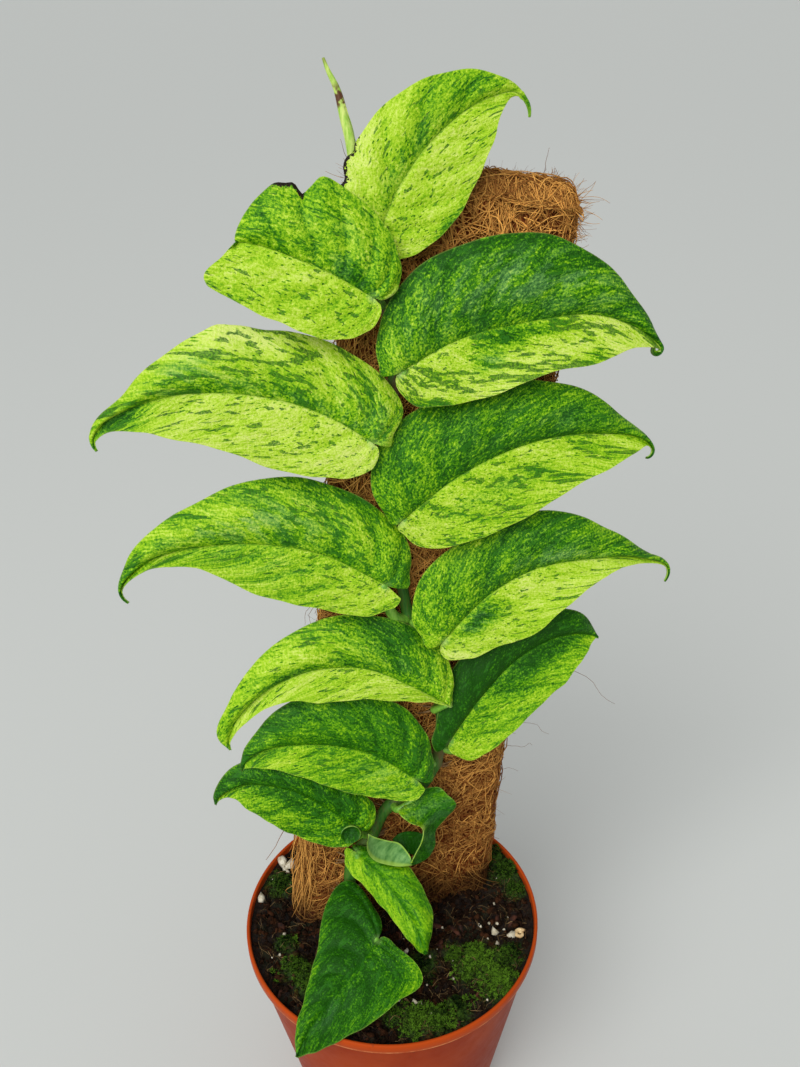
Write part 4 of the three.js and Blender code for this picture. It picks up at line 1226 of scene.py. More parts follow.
class PLANT_OT_pot(Builder, bpy.types.Operator):
    """Build the nursery pot with its rolled lip and drain holes"""

    bl_idname = "plant.pot"
    bl_label = "Pot"

    def build(self, sizes):
        height = sizes.pot_height / MM
        rim = sizes.rim_radius / MM
        foot = sizes.foot_radius / MM
        wall = sizes.pot_wall / MM
        under = height - sizes.lip_height / MM
        neck = rim - NECK_INSET
        slope = pot_slope(sizes)
        lip = [
            (neck, under), (rim - 0.4, under + 0.25), (rim, under + 0.7), (rim, height - 0.8),
            (rim - 0.12, height - 0.25), (rim - 0.45, height), (rim - 0.95, height),
            (rim - 1.3, height - 0.25), (rim - 1.45, height - 0.8), (rim - 1.5, under + 0.5),
            (neck - wall, under - 0.3),
        ]
        base = [(0.01, 0.0), (20.0, 0.0), (foot - 1.2, 0.0), (foot - 0.4, 0.2), (foot, 0.7)]
        outside = [(foot + slope * z, z) for z in (1, 3, 12, 30, 50, 70, 85, 93, under - 0.4)]
        inside = [(foot - wall + slope * z, z) for z in (85, 60, 30, 8, 2.6)]
        floor = [(foot - wall - 0.5, FLOOR), (20.0, FLOOR), (0.01, FLOOR)]
        profile = [*base, *outside, *lip, *inside, *floor]
        rings, faces = lathe(profile, 200)
        pot = new_piece("pot_body", rings.reshape(-1, 3), faces)
        angles = np.arange(HOLE_COUNT) / HOLE_COUNT * 2 * np.pi
        middle = HOLE_RING * stack(np.cos(angles), np.sin(angles), 0 * angles)
        ends = np.stack([middle + [0, 0, -3], middle + [0, 0, 5]], axis=1)
        hole_points, hole_faces = rods(ends, np.full((HOLE_COUNT, 2), HOLE_RADIUS), 32)
        cutter = new_piece("hole_cutter", hole_points, hole_faces)
        cut = pot.modifiers.new("drain_holes", "BOOLEAN")
        cut.operation = "DIFFERENCE"
        cut.object = cutter
        cut.solver = "EXACT"
        shown = pot.evaluated_get(bpy.context.evaluated_depsgraph_get())
        mesh = bpy.data.meshes.new_from_object(shown)
        pot.modifiers.clear()
        pot.data = mesh
        bpy.data.objects.remove(cutter)
        dress(pot, ["pot"], [pot_material(sizes)])
        pot.data.set_sharp_from_angle(angle=math.radians(50))


def soil_reach(sizes, z):
    """Radius of the potting mix at a height in mm."""
    return sizes.foot_radius / MM + pot_slope(sizes) * z - sizes.pot_wall / MM - 0.1


def soil_edge(sizes):
    """Radius of the potting mix inside the lip, in mm."""
    return sizes.rim_radius / MM - 1.6


def soil_height(x, y, reach):
    """Height over the soil's level: the lumps of the solid, crumbs packed like billows, and moss mounds.

    Towards the wall the mix rises by three millimetres.
    """
    radius = np.hypot(x, y) / reach
    lumps = np.sin(x * 0.21 + 1.3) * np.cos(y * 0.17 - 0.4) + 0.6 * np.sin(x * 0.43 - y * 0.37)
    fade = np.maximum(1 - radius**4, 0)
    places = stack(x, y, np.zeros_like(x))
    crumbs = 2.6 * np.abs(lattice_noise(places * 0.22, 5)) + 1.5 * np.abs(lattice_noise(places * 0.55, 6))
    crumbs = crumbs + 0.6 * np.abs(lattice_noise(places * 1.3, 7)) - 1.1
    moss = sum(2.4 * bell(np.hypot(x - mx, y - my), 0, 0.8 * size) for mx, my, size, _, _ in MOSS_PATCHES)
    rise = 2.8 * radius**8 + moss * np.minimum(3 * fade, 1)
    return 1.6 * lumps * fade + crumbs * np.minimum(3 * fade + 0.4, 1) + rise


def mossy(x, y):
    """Share of green film on the mix: the highest of the round falls about the patches of moss."""
    falls = [
        bell(np.hypot(x - mx, y - my), 0, 1.15 * size + 1) for mx, my, size, _, _ in MOSS_PATCHES
    ]
    return np.max(falls, axis=0)


class PLANT_OT_soil(Builder, bpy.types.Operator):
    """Build the potting mix with its lumps and crumbs"""

    bl_idname = "plant.soil"
    bl_label = "Soil"

    def build(self, sizes):
        level = sizes.soil_level / MM
        reach = soil_edge(sizes)
        share = np.linspace(0.004, 1, 150)[::-1]
        profile = [(0.01, 2.1), (20, 2.1), (soil_reach(sizes, 2.1), 2.1), (soil_reach(sizes, level), level)]
        profile += [(reach * s, level) for s in share]
        rings, faces = lathe(profile, 380)
        top = rings[4:]
        top[..., 2] += soil_height(top[..., 0], top[..., 1], reach)
        soil = new_piece("potting_mix", rings.reshape(-1, 3), faces)
        add_attribute(soil, "mossy", "FLOAT", mossy(rings[..., 0], rings[..., 1]))
        dress(soil, ["soil"], [soil_material(sizes.soil_color)])


def scatter(shape, places, sizes, turns):
    """Copies of one closed shape, each with its own place, three sizes and three turns.

    shape is (points, triangles). Returns the points and triangles of all the copies.
    """
    points, triangles = shape
    copies = points[None] * sizes[:, None]
    for axis in range(3):
        one = (axis + 1) % 3
        other = (axis + 2) % 3
        over, climb = turned(copies[..., one], copies[..., other], turns[:, axis, None])
        copies[..., one] = over
        copies[..., other] = climb
    copies = copies + places[:, None]
    first = np.arange(len(places)) * len(points)
    return copies.reshape(-1, 3), (triangles[None] + first[:, None, None]).reshape(-1, 3)


def pebble_shape():
    """The icosahedron's twelve points, at radius one and knocked a little out of true, and its triangles."""
    g = (1 + 5**0.5) / 2
    points = np.array([
        [-1, g, 0], [1, g, 0], [-1, -g, 0], [1, -g, 0], [0, -1, g], [0, 1, g],
        [0, -1, -g], [0, 1, -g], [g, 0, -1], [g, 0, 1], [-g, 0, -1], [-g, 0, 1],
    ])
    triangles = np.array([
        [0, 11, 5], [0, 5, 1], [0, 1, 7], [0, 7, 10], [0, 10, 11], [1, 5, 9], [5, 11, 4], [11, 10, 2],
        [10, 7, 6], [7, 1, 8], [3, 9, 4], [3, 4, 2], [3, 2, 6], [3, 6, 8], [3, 8, 9], [4, 9, 5],
        [2, 4, 11], [6, 2, 10], [8, 6, 7], [9, 8, 1],
    ])
    uneven = 1 + 0.33 * np.sin(np.arange(12) * 2.7)
    return unit(points) * uneven[:, None], triangles


def on_soil(sizes, x, y, lift):
    """Places on the soil's surface."""
    level = sizes.soil_level / MM
    z = level + soil_height(x, y, soil_edge(sizes)) + lift
    return stack(x, y, z)


def clear_of_board(sizes, places, gap=0.5):
    """Which places lie outside the board's outline and inside the pot."""
    local = to_board(places)
    inside = (np.abs(local[:, 0]) < sizes.board_width / MM / 2 + gap)
    inside &= (local[:, 2] < gap) & (local[:, 2] > -sizes.board_thickness / MM - gap)
    return ~inside & (np.hypot(places[:, 0], places[:, 1]) < soil_edge(sizes) - 0.8)


class PLANT_OT_litter(Builder, bpy.types.Operator):
    """Scatter crumbs, perlite, bark and rootlets over the potting mix"""

    bl_idname = "plant.litter"
    bl_label = "Crumbs, perlite and bark"

    def build(self, sizes):
        random = np.random.default_rng(LITTER_SEED)
        self.crumbs(random, sizes)
        self.grains(random, sizes)
        self.chips(random, sizes)
        self.rootlets(random, sizes)
        self.shell(sizes)

    def spread(self, random, sizes, count):
        """Random places all over the soil."""
        radius = 57 * np.sqrt(random.random(count))
        angle = random.uniform(0, 2 * np.pi, count)
        places = on_soil(sizes, radius * np.cos(angle), radius * np.sin(angle), 0.1)
        return places[clear_of_board(sizes, places)]

    def pebbles(self, name, places, size, turns, material):
        """One piece of many copies of the pebble."""
        points, triangles = scatter(pebble_shape(), places, size, turns)
        piece = new_piece(name, points, [triangles])
        dress(piece, [], [material])
        return piece, points

    def crumbs(self, random, sizes):
        """Many small crumbs and some large dark lumps."""
        places = np.concatenate([self.spread(random, sizes, 3400), self.spread(random, sizes, 420)])
        count = len(places)
        lumps = 360
        size = random.uniform(0.3, 1.1, (count, 1)) ** 2 * random.uniform(0.6, 1.6, (count, 3)) + 0.2
        size[-lumps:] = random.uniform(0.8, 2.6, (lumps, 1)) * random.uniform(0.35, 1.1, (lumps, 3))
        turns = random.uniform(0, 6.3, (count, 3))
        piece, points = self.pebbles("soil_crumbs", places, size, turns, crumb_material())
        add_attribute(piece, "mossy", "FLOAT", mossy(points[:, 0], points[:, 1]))

    def grains(self, random, sizes):
        """White perlite: the grains seen at the right and at the back left, and small loose ones."""
        loose = np.concatenate([random.uniform(-52, 52, (60, 2)), random.uniform(0.2, 0.5, (60, 1))], axis=1)
        every = np.concatenate([PERLITE_SEEN, loose])
        places = on_soil(sizes, every[:, 0], every[:, 1], 0.5 + 0.4 * every[:, 2])
        keep = clear_of_board(sizes, places)
        size = 1.35 * every[keep, 2:] * random.uniform(0.75, 1.15, (keep.sum(), 3))
        turns = random.uniform(0, 6.3, (keep.sum(), 3))
        material = plain_material("perlite", "#a89c80", "#e2dbc6", 0.85, 500)
        self.pebbles("perlite", places[keep], size, turns, material)

    def chips(self, random, sizes):
        """Flat bark chips, some of them reddish."""
        spread = self.spread(random, sizes, 90)
        placed = on_soil(sizes, *np.transpose(CHIPS_SEEN), 0.7)
        places = np.concatenate([placed, spread])
        count = len(places)
        length = np.concatenate([np.full(len(placed), 3.2), random.uniform(1.0, 3.2, len(spread))])
        width = length * random.uniform(0.3, 0.6, count)
        size = stack(length, width, random.uniform(0.3, 0.8, count))
        tilt = random.normal(0, 0.35, (count, 2))
        turns = np.concatenate([tilt, random.uniform(0, 6.3, (count, 1))], axis=1)
        material = plain_material("bark", "#170b06", "#5a2f1b", 0.8, 260)
        self.pebbles("bark_chips", places, size, turns, material)

    def rootlets(self, random, sizes):
        """Thin tan fibres that lie about on the mix."""
        places = self.spread(random, sizes, 1300)
        each = (len(places), 1)
        s = np.linspace(0, 1, 6)
        turn = random.uniform(0, 2 * np.pi, each)
        length = random.uniform(2, 9, each)
        over, climb = turned(length * s, random.normal(0, 0.25, each) * length * s**2, turn)
        x = places[:, :1] + over
        y = places[:, 1:2] + climb
        within = np.minimum(1, 55.5 / np.maximum(np.hypot(x, y), 1))
        lift = 0.15 + random.uniform(0, 1.3, each) * np.sin(np.pi * s)
        paths = on_soil(sizes, x * within, y * within, lift)
        points, faces = rods(paths, random.uniform(0.07, 0.17, each) * (1 - 0.5 * s), 3)
        piece = new_piece("rootlets", points, faces)
        add_attribute(piece, "fibre_tone", "FLOAT", np.repeat(random.random(each) ** 1.6, 18))
        dress(piece, [], [fibre_material("rootlet", shade("#1d140b"), shade("#a8885a"))])

    def shell(self, sizes):
        """A tan curl like a snail's shell: a tapering tube on a flat spiral."""
        s = np.linspace(0, 1, 40)
        angle = 2.6 * np.pi * s + 0.6
        radius = 1.9 * (1 - s) ** 0.8 + 0.15
        middle = on_soil(sizes, *np.array(TAN_CURL), 1.6)
        path = middle + stack(radius * np.cos(angle), radius * np.sin(angle), 0.5 * s)
        points, faces = rods(path[None], (0.75 * (1 - s) ** 0.6 + 0.25)[None], 10)
        piece = new_piece("tan_curl", points, faces)
        dress(piece, [], [plain_material("tan_husk", "#a98352", "#e8cf9c", 0.6, 400)])


class PLANT_OT_moss(Builder, bpy.types.Operator):
    """Grow moss in cushions on the potting mix"""

    bl_idname = "plant.moss"
    bl_label = "Moss"

    def build(self, sizes):
        random = np.random.default_rng(MOSS_SEED)
        cushions = np.concatenate([self.cushions(random, patch) for patch in MOSS_PATCHES])
        roots, ahead, tone = self.tufts(random, sizes, cushions)
        keep = clear_of_board(sizes, roots, 0.2)
        roots, ahead, tone = roots[keep], ahead[keep], tone[keep]
        blades = 9
        green = fibre_material("moss", shade("#0b1f05"), shade("#93cf38"))
        for number, part in enumerate(np.array_split(np.arange(len(roots)), 2)):
            root = np.repeat(roots[part], blades, axis=0)
            aim = unit(np.repeat(ahead[part], blades, axis=0) + random.normal(0, 0.5, (len(root), 3)))
            tips = root + aim * random.uniform(0.8, 1.7, (len(root), 1))
            paths = np.stack([root, tips], axis=1)
            points, faces = rods(paths, np.tile([0.2, 0.03], (len(root), 1)), 3)
            moss = new_piece(f"moss_{number + 1}", points, faces)
            shine = np.repeat(tone[part], blades)[:, None] + random.uniform(0, 0.3, (len(root), 1))
            # Painted shade and highlight: each blade is darker at its root among the tufts and lighter at
            # its tip.
            shine = shine + [-0.35, 0.45]
            add_attribute(moss, "fibre_tone", "FLOAT", np.repeat(shine.ravel(), 3))
            dress(moss, [], [green])

    def cushions(self, random, patch):
        """Small domes of one patch: x, y, radius and brightness of each."""
        x, y, reach, count, bright = patch
        count = round(1.35 * count)
        radius = reach * np.abs(random.normal(0, 0.62, count))
        angle = random.uniform(0, 2 * np.pi, count)
        size = random.uniform(1.1, 2.8, count)
        tone = bright + random.normal(0, 0.12, count)
        return stack(x + radius * np.cos(angle), y + radius * np.sin(angle), size, tone)

    def tufts(self, random, sizes, cushions):
        """Roots of the tufts all over the domes, the way each faces and its brightness."""
        each = np.repeat(cushions, np.ceil(2.4 * cushions[:, 2] ** 2).astype(int), axis=0)
        facing = random.normal(0, 1, (len(each), 3))
        facing[:, 2] = np.abs(facing[:, 2])
        facing = unit(facing)
        flat = each[:, :2] + facing[:, :2] * each[:, 2:3]
        roots = on_soil(sizes, flat[:, 0], flat[:, 1], 0)
        middle = on_soil(sizes, each[:, 0], each[:, 1], 0)[:, 2]
        roots[:, 2] = middle + 0.75 * each[:, 2] * facing[:, 2] - 0.3
        return roots, facing, each[:, 3]


# The board's rounded outline: its length, shares of the way round it, corner signs and the direction
# outwards in degrees. Its corners and its top edge have their own radii.
OUTLINE_LENGTH = 184.0
OUTLINE_KNOTS = np.array([0, 66, 77, 81, 92, 158, 169, 173, 184]) / OUTLINE_LENGTH
OUTLINE_ACROSS = (1, -1, -1, -1, -1, 1, 1, 1, 1)
OUTLINE_OUT = (1, 1, 1, -1, -1, -1, -1, 1, 1)
OUTLINE_TURN = (90, 90, 180, 180, 270, 270, 360, 360, 450)
CORNER = 7.0
BULLNOSE = 6.0


def board_skin(sizes, a, up):
    """Places on the board's skin at a share a of the way round it and a height, and the directions outwards.

    The outline is a rounded rectangle that narrows slowly upwards and widens a little at the foot. Over the
    last few millimetres it rounds over into the top, and heights past the top run on inwards over it.
    """
    a = np.mod(a, 1)
    top = sizes.board_height / MM
    thick = sizes.board_thickness / MM
    share = (up + BOARD_IN_SOIL) / (top + BOARD_IN_SOIL)
    foot = np.exp(-np.maximum(up, 0) / 11)
    half = sizes.board_width / MM / 2 * (1 - BOARD_TAPER * share) + 1.6 * foot
    over = np.clip(up - (top - BULLNOSE), 0, BULLNOSE)
    inset = BULLNOSE - np.sqrt(BULLNOSE**2 - over**2) + np.maximum(up - top, 0)
    turn = np.radians(np.interp(a, OUTLINE_KNOTS, OUTLINE_TURN))
    around = stack(3 * np.cos(turn), up * 0.09, 3 * np.sin(turn))
    radius = CORNER - inset + 0.8 * layered_noise(around, 2, 12)
    x = np.interp(a, OUTLINE_KNOTS, OUTLINE_ACROSS) * (half - CORNER) + radius * np.cos(turn)
    z = np.interp(a, OUTLINE_KNOTS, OUTLINE_OUT) * (thick / 2 - CORNER) + radius * np.sin(turn) - thick / 2
    tilt = over / BULLNOSE
    flat = np.sqrt(1 - np.clip(tilt, 0, 1) ** 2)
    outward = stack(flat * np.cos(turn), tilt, flat * np.sin(turn))
    return stack(x, np.minimum(up, top), z), outward


def turned(run, aside, turn):
    """Turn steps ahead and aside by an angle: how far they lead over and up."""
    return run * np.cos(turn) - aside * np.sin(turn), run * np.sin(turn) + aside * np.cos(turn)


def held(value, limit, give):
    """Keep a value within a limit either way, or past it by no more than the give."""
    past = np.abs(value) - limit
    return np.where(past > 0, np.sign(value) * (limit + give * np.tanh(past / give)), value)


def hair_curls(random, ahead, length, spread, s):
    """How each hair leaves its root: straight ahead, bent aside by a random curl times s squared.

    Returns the paths from the root and the direction that each bends in.
    """
    bend = unit(np.cross(ahead, random.normal(0, 1, ahead.shape)))[:, None]
    curl = random.normal(0, spread, length.shape) * length
    return ahead[:, None] * length * s + bend * curl * s**2, bend


class PLANT_OT_board(Builder, bpy.types.Operator):
    """Build the coir board's matted body"""

    bl_idname = "plant.board"
    bl_label = "Coir board"

    def build(self, sizes):
        top = sizes.board_height / MM
        columns = 200
        bow = top - BULLNOSE + BULLNOSE * np.sin(np.linspace(0, np.pi / 2, 9))[1:]
        up = np.concatenate([np.linspace(-BOARD_IN_SOIL, top - BULLNOSE, 230), bow])[:, None]
        a = np.arange(columns) / columns * np.ones((len(up), 1))
        rows, outward = board_skin(sizes, a, up * np.ones(columns))
        rough = 0.6 * layered_noise(rows * [0.25, 0.12, 0.25], 4, 3) - 0.5
        rows = rows + outward * rough[..., None]
        share = np.array([0.8, 0.55, 0.3, 0.1, 0.02])[:, None, None]
        bottom = rows[0].mean(axis=0) + (rows[0] - rows[0].mean(axis=0)) * share[::-1]
        lid = rows[-1].mean(axis=0) + (rows[-1] - rows[-1].mean(axis=0)) * share
        lid[..., 1] += 0.6 * layered_noise(lid * 0.4, 3, 8)
        rings = np.concatenate([bottom, rows, lid])
        circle = np.arange(columns)
        quads = grid_quads(len(rings), columns, round_columns=True)
        faces = [quads[:, ::-1], circle[None], circle[None, ::-1] + (len(rings) - 1) * columns]
        board = new_piece("coir_board_body", from_board(rings.reshape(-1, 3)), faces)
        dress(board, ["coir_board"], [matting_material(sizes.coir_dark, sizes.coir_light)])


class PLANT_OT_fibres(Builder, bpy.types.Operator):
    """Lay loose coir fibres over the board and fray its edges"""

    bl_idname = "plant.fibres"
    bl_label = "Coir fibres"

    def build(self, sizes):
        random = np.random.default_rng(FIBRE_SEED)
        material = fibre_material("coir_fibre", sizes.coir_dark, sizes.coir_light, True)
        for number in range(3):
            self.skin_fibres(random, sizes, material, f"coir_fibres_{number + 1}", sizes.fibres // 3)
        self.crown(random, sizes, material)
        self.strays(random, sizes, material)
        self.fringe(random, sizes, material)
        self.foot_tuft(random, material)
        self.placed_hairs(random, material)

    def piece(self, name, paths, radii, tones, material):
        """One piece of three-sided fibres with a shade for each."""
        points, faces = rods(paths, radii, 3)
        piece = new_piece(name, from_board(points), faces)
        add_attribute(piece, "fibre_tone", "FLOAT", np.repeat(tones, paths.shape[1] * 3))
        dress(piece, [], [material])

    def skin_fibres(self, random, sizes, material, name, count):
        """Fibres along the skin: each runs straight with a curl, and lifts off the skin in the middle."""
        top = sizes.board_height / MM
        s = np.linspace(0, 1, 6)
        each = (count, 1)
        a = random.random(each)
        up = random.uniform(-4, top + 4, each)
        turn = random.uniform(0, 2 * np.pi, each)
        length = random.uniform(7, 24, each)
        curl = random.normal(0, 0.16, each) * length
        sway = random.normal(0, 0.07, each) * length
        over, climb = turned(length * s, curl * s**2 + sway * np.sin(2 * np.pi * s), turn)
        heights = np.clip(up + climb, -5, top + 6)
        places, outward = board_skin(sizes, a + over / OUTLINE_LENGTH, heights)
        lift = random.random(each) ** 2 * 1.6 * np.sin(np.pi * s)
        lift = lift + random.uniform(-0.1, 0.5, each)
        thick = random.uniform(0.12, 0.3, each) * (1 - 0.55 * s**2)
        tones = random.random(each) * (0.8 + 0.2 * np.clip(up / 60, 0, 1))
        # Painted light: fibres on the front face behind the leaves, where the leaves shade the board, are
        # made lighter.
        painted_light = bell(places[:, :1, 0], -8, 38) * ease(up, 60, 90) * (outward[:, :1, 2] > 0)
        self.piece(name, places + outward * lift[..., None], thick, tones + 0.5 * painted_light, material)

    def crown(self, random, sizes, material):
        """The frayed top: long fibres that cross each other and drape over the edges."""
        top = sizes.board_height / MM
        thick = sizes.board_thickness / MM
        half = sizes.board_width / MM / 2 * (1 - BOARD_TAPER)
        each = (2600, 1)
        s = np.linspace(0, 1, 9)
        x = random.uniform(-1, 1, each) * (half - 1)
        z = -random.uniform(0.02, 0.98, each) * thick
        turn = random.uniform(0, 2 * np.pi, each)
        length = random.uniform(8, 27, each)
        curl = random.normal(0, 0.22, each) * length
        over, climb = turned(length * (s - 0.4), curl * (s - 0.5) ** 2 * 2, turn)
        x = held(x + over, half - 1.5, 1.8)
        z = held(z + 0.6 * climb + thick / 2, thick / 2, 1.6) - thick / 2
        side = np.maximum(np.abs(x) - (half - BULLNOSE), 0)
        face = np.maximum(np.abs(z + thick / 2) - (thick / 2 - BULLNOSE), 0)
        edge = np.hypot(side, face)
        drop = BULLNOSE - np.sqrt(np.maximum(BULLNOSE**2 - np.minimum(edge, BULLNOSE) ** 2, 0))
        drop = drop + 0.5 * np.maximum(edge - BULLNOSE, 0)
        dome = 1.6 * np.cos(np.clip(x / half, -1, 1) * np.pi / 2)
        lift = random.random(each) ** 1.6 * 3.2 * np.sin(np.pi * s)
        stick = random.normal(0, 0.7, each) * s
        y = top - drop + dome + lift + stick + random.uniform(-0.6, 0.8, each)
        radii = random.uniform(0.15, 0.3, each) * (1 - 0.5 * s**2)
        self.piece("coir_crown", stack(x, y, z), radii, 0.2 + 0.8 * random.random(each), material)

    def strays(self, random, sizes, material):
        """Thin hairs that stand off the sides and the top."""
        top = sizes.board_height / MM
        count = 1500
        on_top = random.random(count) < 0.4
        a = random.random(count)
        up = np.where(on_top, random.uniform(top - 5, top + 5, count), random.uniform(2, top, count))
        places, outward = board_skin(sizes, a, up)
        ahead = unit(outward + random.normal(0, 0.55, (count, 3)))
        s = np.linspace(0, 1, 9)[:, None]
        length = random.uniform(2, 8, (count, 1, 1))
        curls, _ = hair_curls(random, ahead, length, 0.35, s)
        radii = random.uniform(0.06, 0.12, (count, 1)) * (1 - 0.6 * s[:, 0])
        self.piece("coir_strays", places[:, None] + curls, radii, random.uniform(0, 0.6, count), material)

    def fringe(self, random, sizes, material):
        """Fine curly hairs that stand out from the two upper corners."""
        top = sizes.board_height / MM
        half = sizes.board_width / MM / 2 * (1 - BOARD_TAPER)
        count = 330
        side = np.where(random.random(count) < 0.75, 1, -1)
        s = np.linspace(0, 1, 12)[:, None]
        drop = random.uniform(0, 26, count)
        inward = random.uniform(0.5, 7, count) * np.exp(-drop / 8) + 0.8
        start = stack(side * (half - inward), top - drop - 0.5, random.uniform(-16, -1, count))
        outward = side * random.uniform(0.5, 1.2, count)
        ahead = unit(stack(outward, random.normal(-0.1, 0.55, count), random.normal(0.1, 0.4, count)))
        length = random.uniform(4, 13, (count, 1, 1)) * np.exp(-drop / 30)[:, None, None]
        curls, bend = hair_curls(random, ahead, length, 0.3, s)
        wave = 0.1 * length * np.sin(5 * s + random.uniform(0, 6, (count, 1, 1))) * s
        paths = start[:, None] + curls + np.cross(ahead[:, None], bend) * wave
        radii = random.uniform(0.09, 0.16, (count, 1)) * (1 - 0.6 * s[:, 0])
        self.piece("coir_fringe", paths, radii, random.uniform(0.1, 0.9, count), material)

    def foot_tuft(self, random, material):
        """Long fibres that hang off the board's left edge over the mix."""
        count = 260
        s = np.linspace(0, 1, 8)[:, None]
        start = random.uniform((-43, 6, -13), (-36, 52, 1), (count, 3))
        drop = random.uniform(10, 26, count)
        end = start + stack(random.uniform(-4, 3, count), -drop, random.uniform(-1, 4, count))
        end[:, 1] = np.maximum(end[:, 1], random.uniform(-1, 4, count))
        sag = random.normal(0, 1.6, (count, 1, 3)) * np.sin(np.pi * s)
        paths = start[:, None] * (1 - s) + end[:, None] * s + sag
        radii = random.uniform(0.12, 0.24, (count, 1)) * (1 - 0.5 * s[:, 0])
        self.piece("coir_foot_tuft", paths, radii, random.uniform(0.3, 1, count), material)

    def placed_hairs(self, random, material):
        """The longer hairs that the picture shows, each through its own points."""
        hairs = [
            ([(27.8, 290, -10), (27.4, 297.4, -10), (28.1, 303, -10)], 0.12),
            ([(40, 106, -6), (67, 105.9, -4), (74.5, 101, -4), (80.6, 93.7, -4), (86.7, 90.1, -4)], 0.13),
            ([(38, 82, -9), (48.9, 80, -9), (54.8, 79.2, -9), (58, 75.6, -9), (61.4, 74, -9)], 0.1),
            ([(37, 71, -9), (47.2, 69, -9), (50.9, 68.3, -9), (53.4, 70.1, -9), (54.4, 69, -9)], 0.1),
            ([(36, 60, -9), (41.5, 58.1, -9), (46, 58.3, -9), (49.8, 56.5, -9)], 0.1),
            ([(-38, 137.5, -6), (-41.6, 137.8, -6), (-45.5, 135, -6), (-45.9, 128.8, -6)], 0.12),
            ([(-38, 136, -6), (-42.2, 136.5, -6), (-44.7, 132.9, -6), (-43.2, 127.9, -6)], 0.12),
            ([(-37, 137, -6), (-40.8, 137.3, -6), (-42.1, 134.1, -6), (-39.6, 129.9, -6)], 0.12),
            ([(-38, 49, -2), (-49.2, 46.6, 2), (-51.3, 42.6, 3), (-55.7, 34.5, 4), (-57.5, 31.3, 4)], 0.2),
            ([(27, 18, 0.6), (31.8, 12, 1.5), (38, 8, 2), (43.8, 5.3, 2.2)], 0.25),
            ([(25, 16, 0.6), (31, 9.5, 1.5), (37, 6, 2), (42.8, 3.8, 2.4)], 0.25),
            ([(29, 19, 0.6), (34, 12.5, 1.8), (40, 9.3, 2), (45, 8, 2)], 0.22),
        ]
        s = np.linspace(0, 1, 14)
        paths = np.stack([along(points, s) for points, _ in hairs])
        paths = paths + random.normal(0, 0.12, paths.shape) * np.sin(np.pi * s)[None, :, None]
        radii = np.array([radius for _, radius in hairs])[:, None] * (1 - 0.5 * s)
        tones = np.where(radii[:, 0] > 0.2, 0.8, 0.15)
        self.piece("coir_long_hairs", paths, radii, tones, material)


class PLANT_OT_slat(Builder, bpy.types.Operator):
    """Give the slat inside the board its wood"""

    bl_idname = "plant.slat"
    bl_label = "Slat"

    def build(self, sizes):
        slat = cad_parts["board_slat"]
        slat.data.materials.clear()
        slat.data.materials.append(plain_material("slat_wood", "#9c7a4c", "#c8a877", 0.7, 80))


class PLANT_OT_stem(Builder, bpy.types.Operator):
    """Grow the climbing stem with its rings and short roots"""

    bl_idname = "plant.stem"
    bl_label = "Stem"

    def build(self, sizes):
        steps = 420
        path = along(STEM_PATH, np.linspace(0, 1, steps))
        path = np.concatenate([path, np.full((steps, 1), STEM_STAND_OFF)], axis=1)
        radius = stem_radius(path[:, 1]) * (1 + 0.05 * lattice_noise(path * 0.35, 4))
        points, faces = rods(path[None], radius[None], 20)
        stem = new_piece("climbing_stem", from_board(points), faces)
        dress(stem, ["stem"], [stem_material()])
        random = np.random.default_rng(ROOT_SEED)
        points, faces = join_parts([self.roots(random, node) for node in NODES])
        roots = new_piece("clinging_roots", from_board(points), faces)
        brown = plain_material("root_skin", "#5c4024", "#94744a", 0.8, 500)
        dress(roots, [], [brown])

    def roots(self, random, node):
        """A few thin roots from one ring of the stem, which dive into the coir beside it."""
        count = 6
        start = beside_stem(node - 1, 0, -2.2)
        side = np.tile([-1.0, 1.0], count // 2)
        reach = random.uniform(4, 9, count)
        drop = random.uniform(-3, 6, count)
        s = np.linspace(0, 1, 9)[:, None]
        aim = stack(side * reach, -drop, -4.2)[:, None]
        paths = start + aim * s**0.8 + np.array([0, 0, 0.9]) * np.sin(np.pi * s)
        thick = random.uniform(0.4, 0.7, (count, 1)) * (1 - 0.5 * s[:, 0])
        return rods(paths, thick, 6)


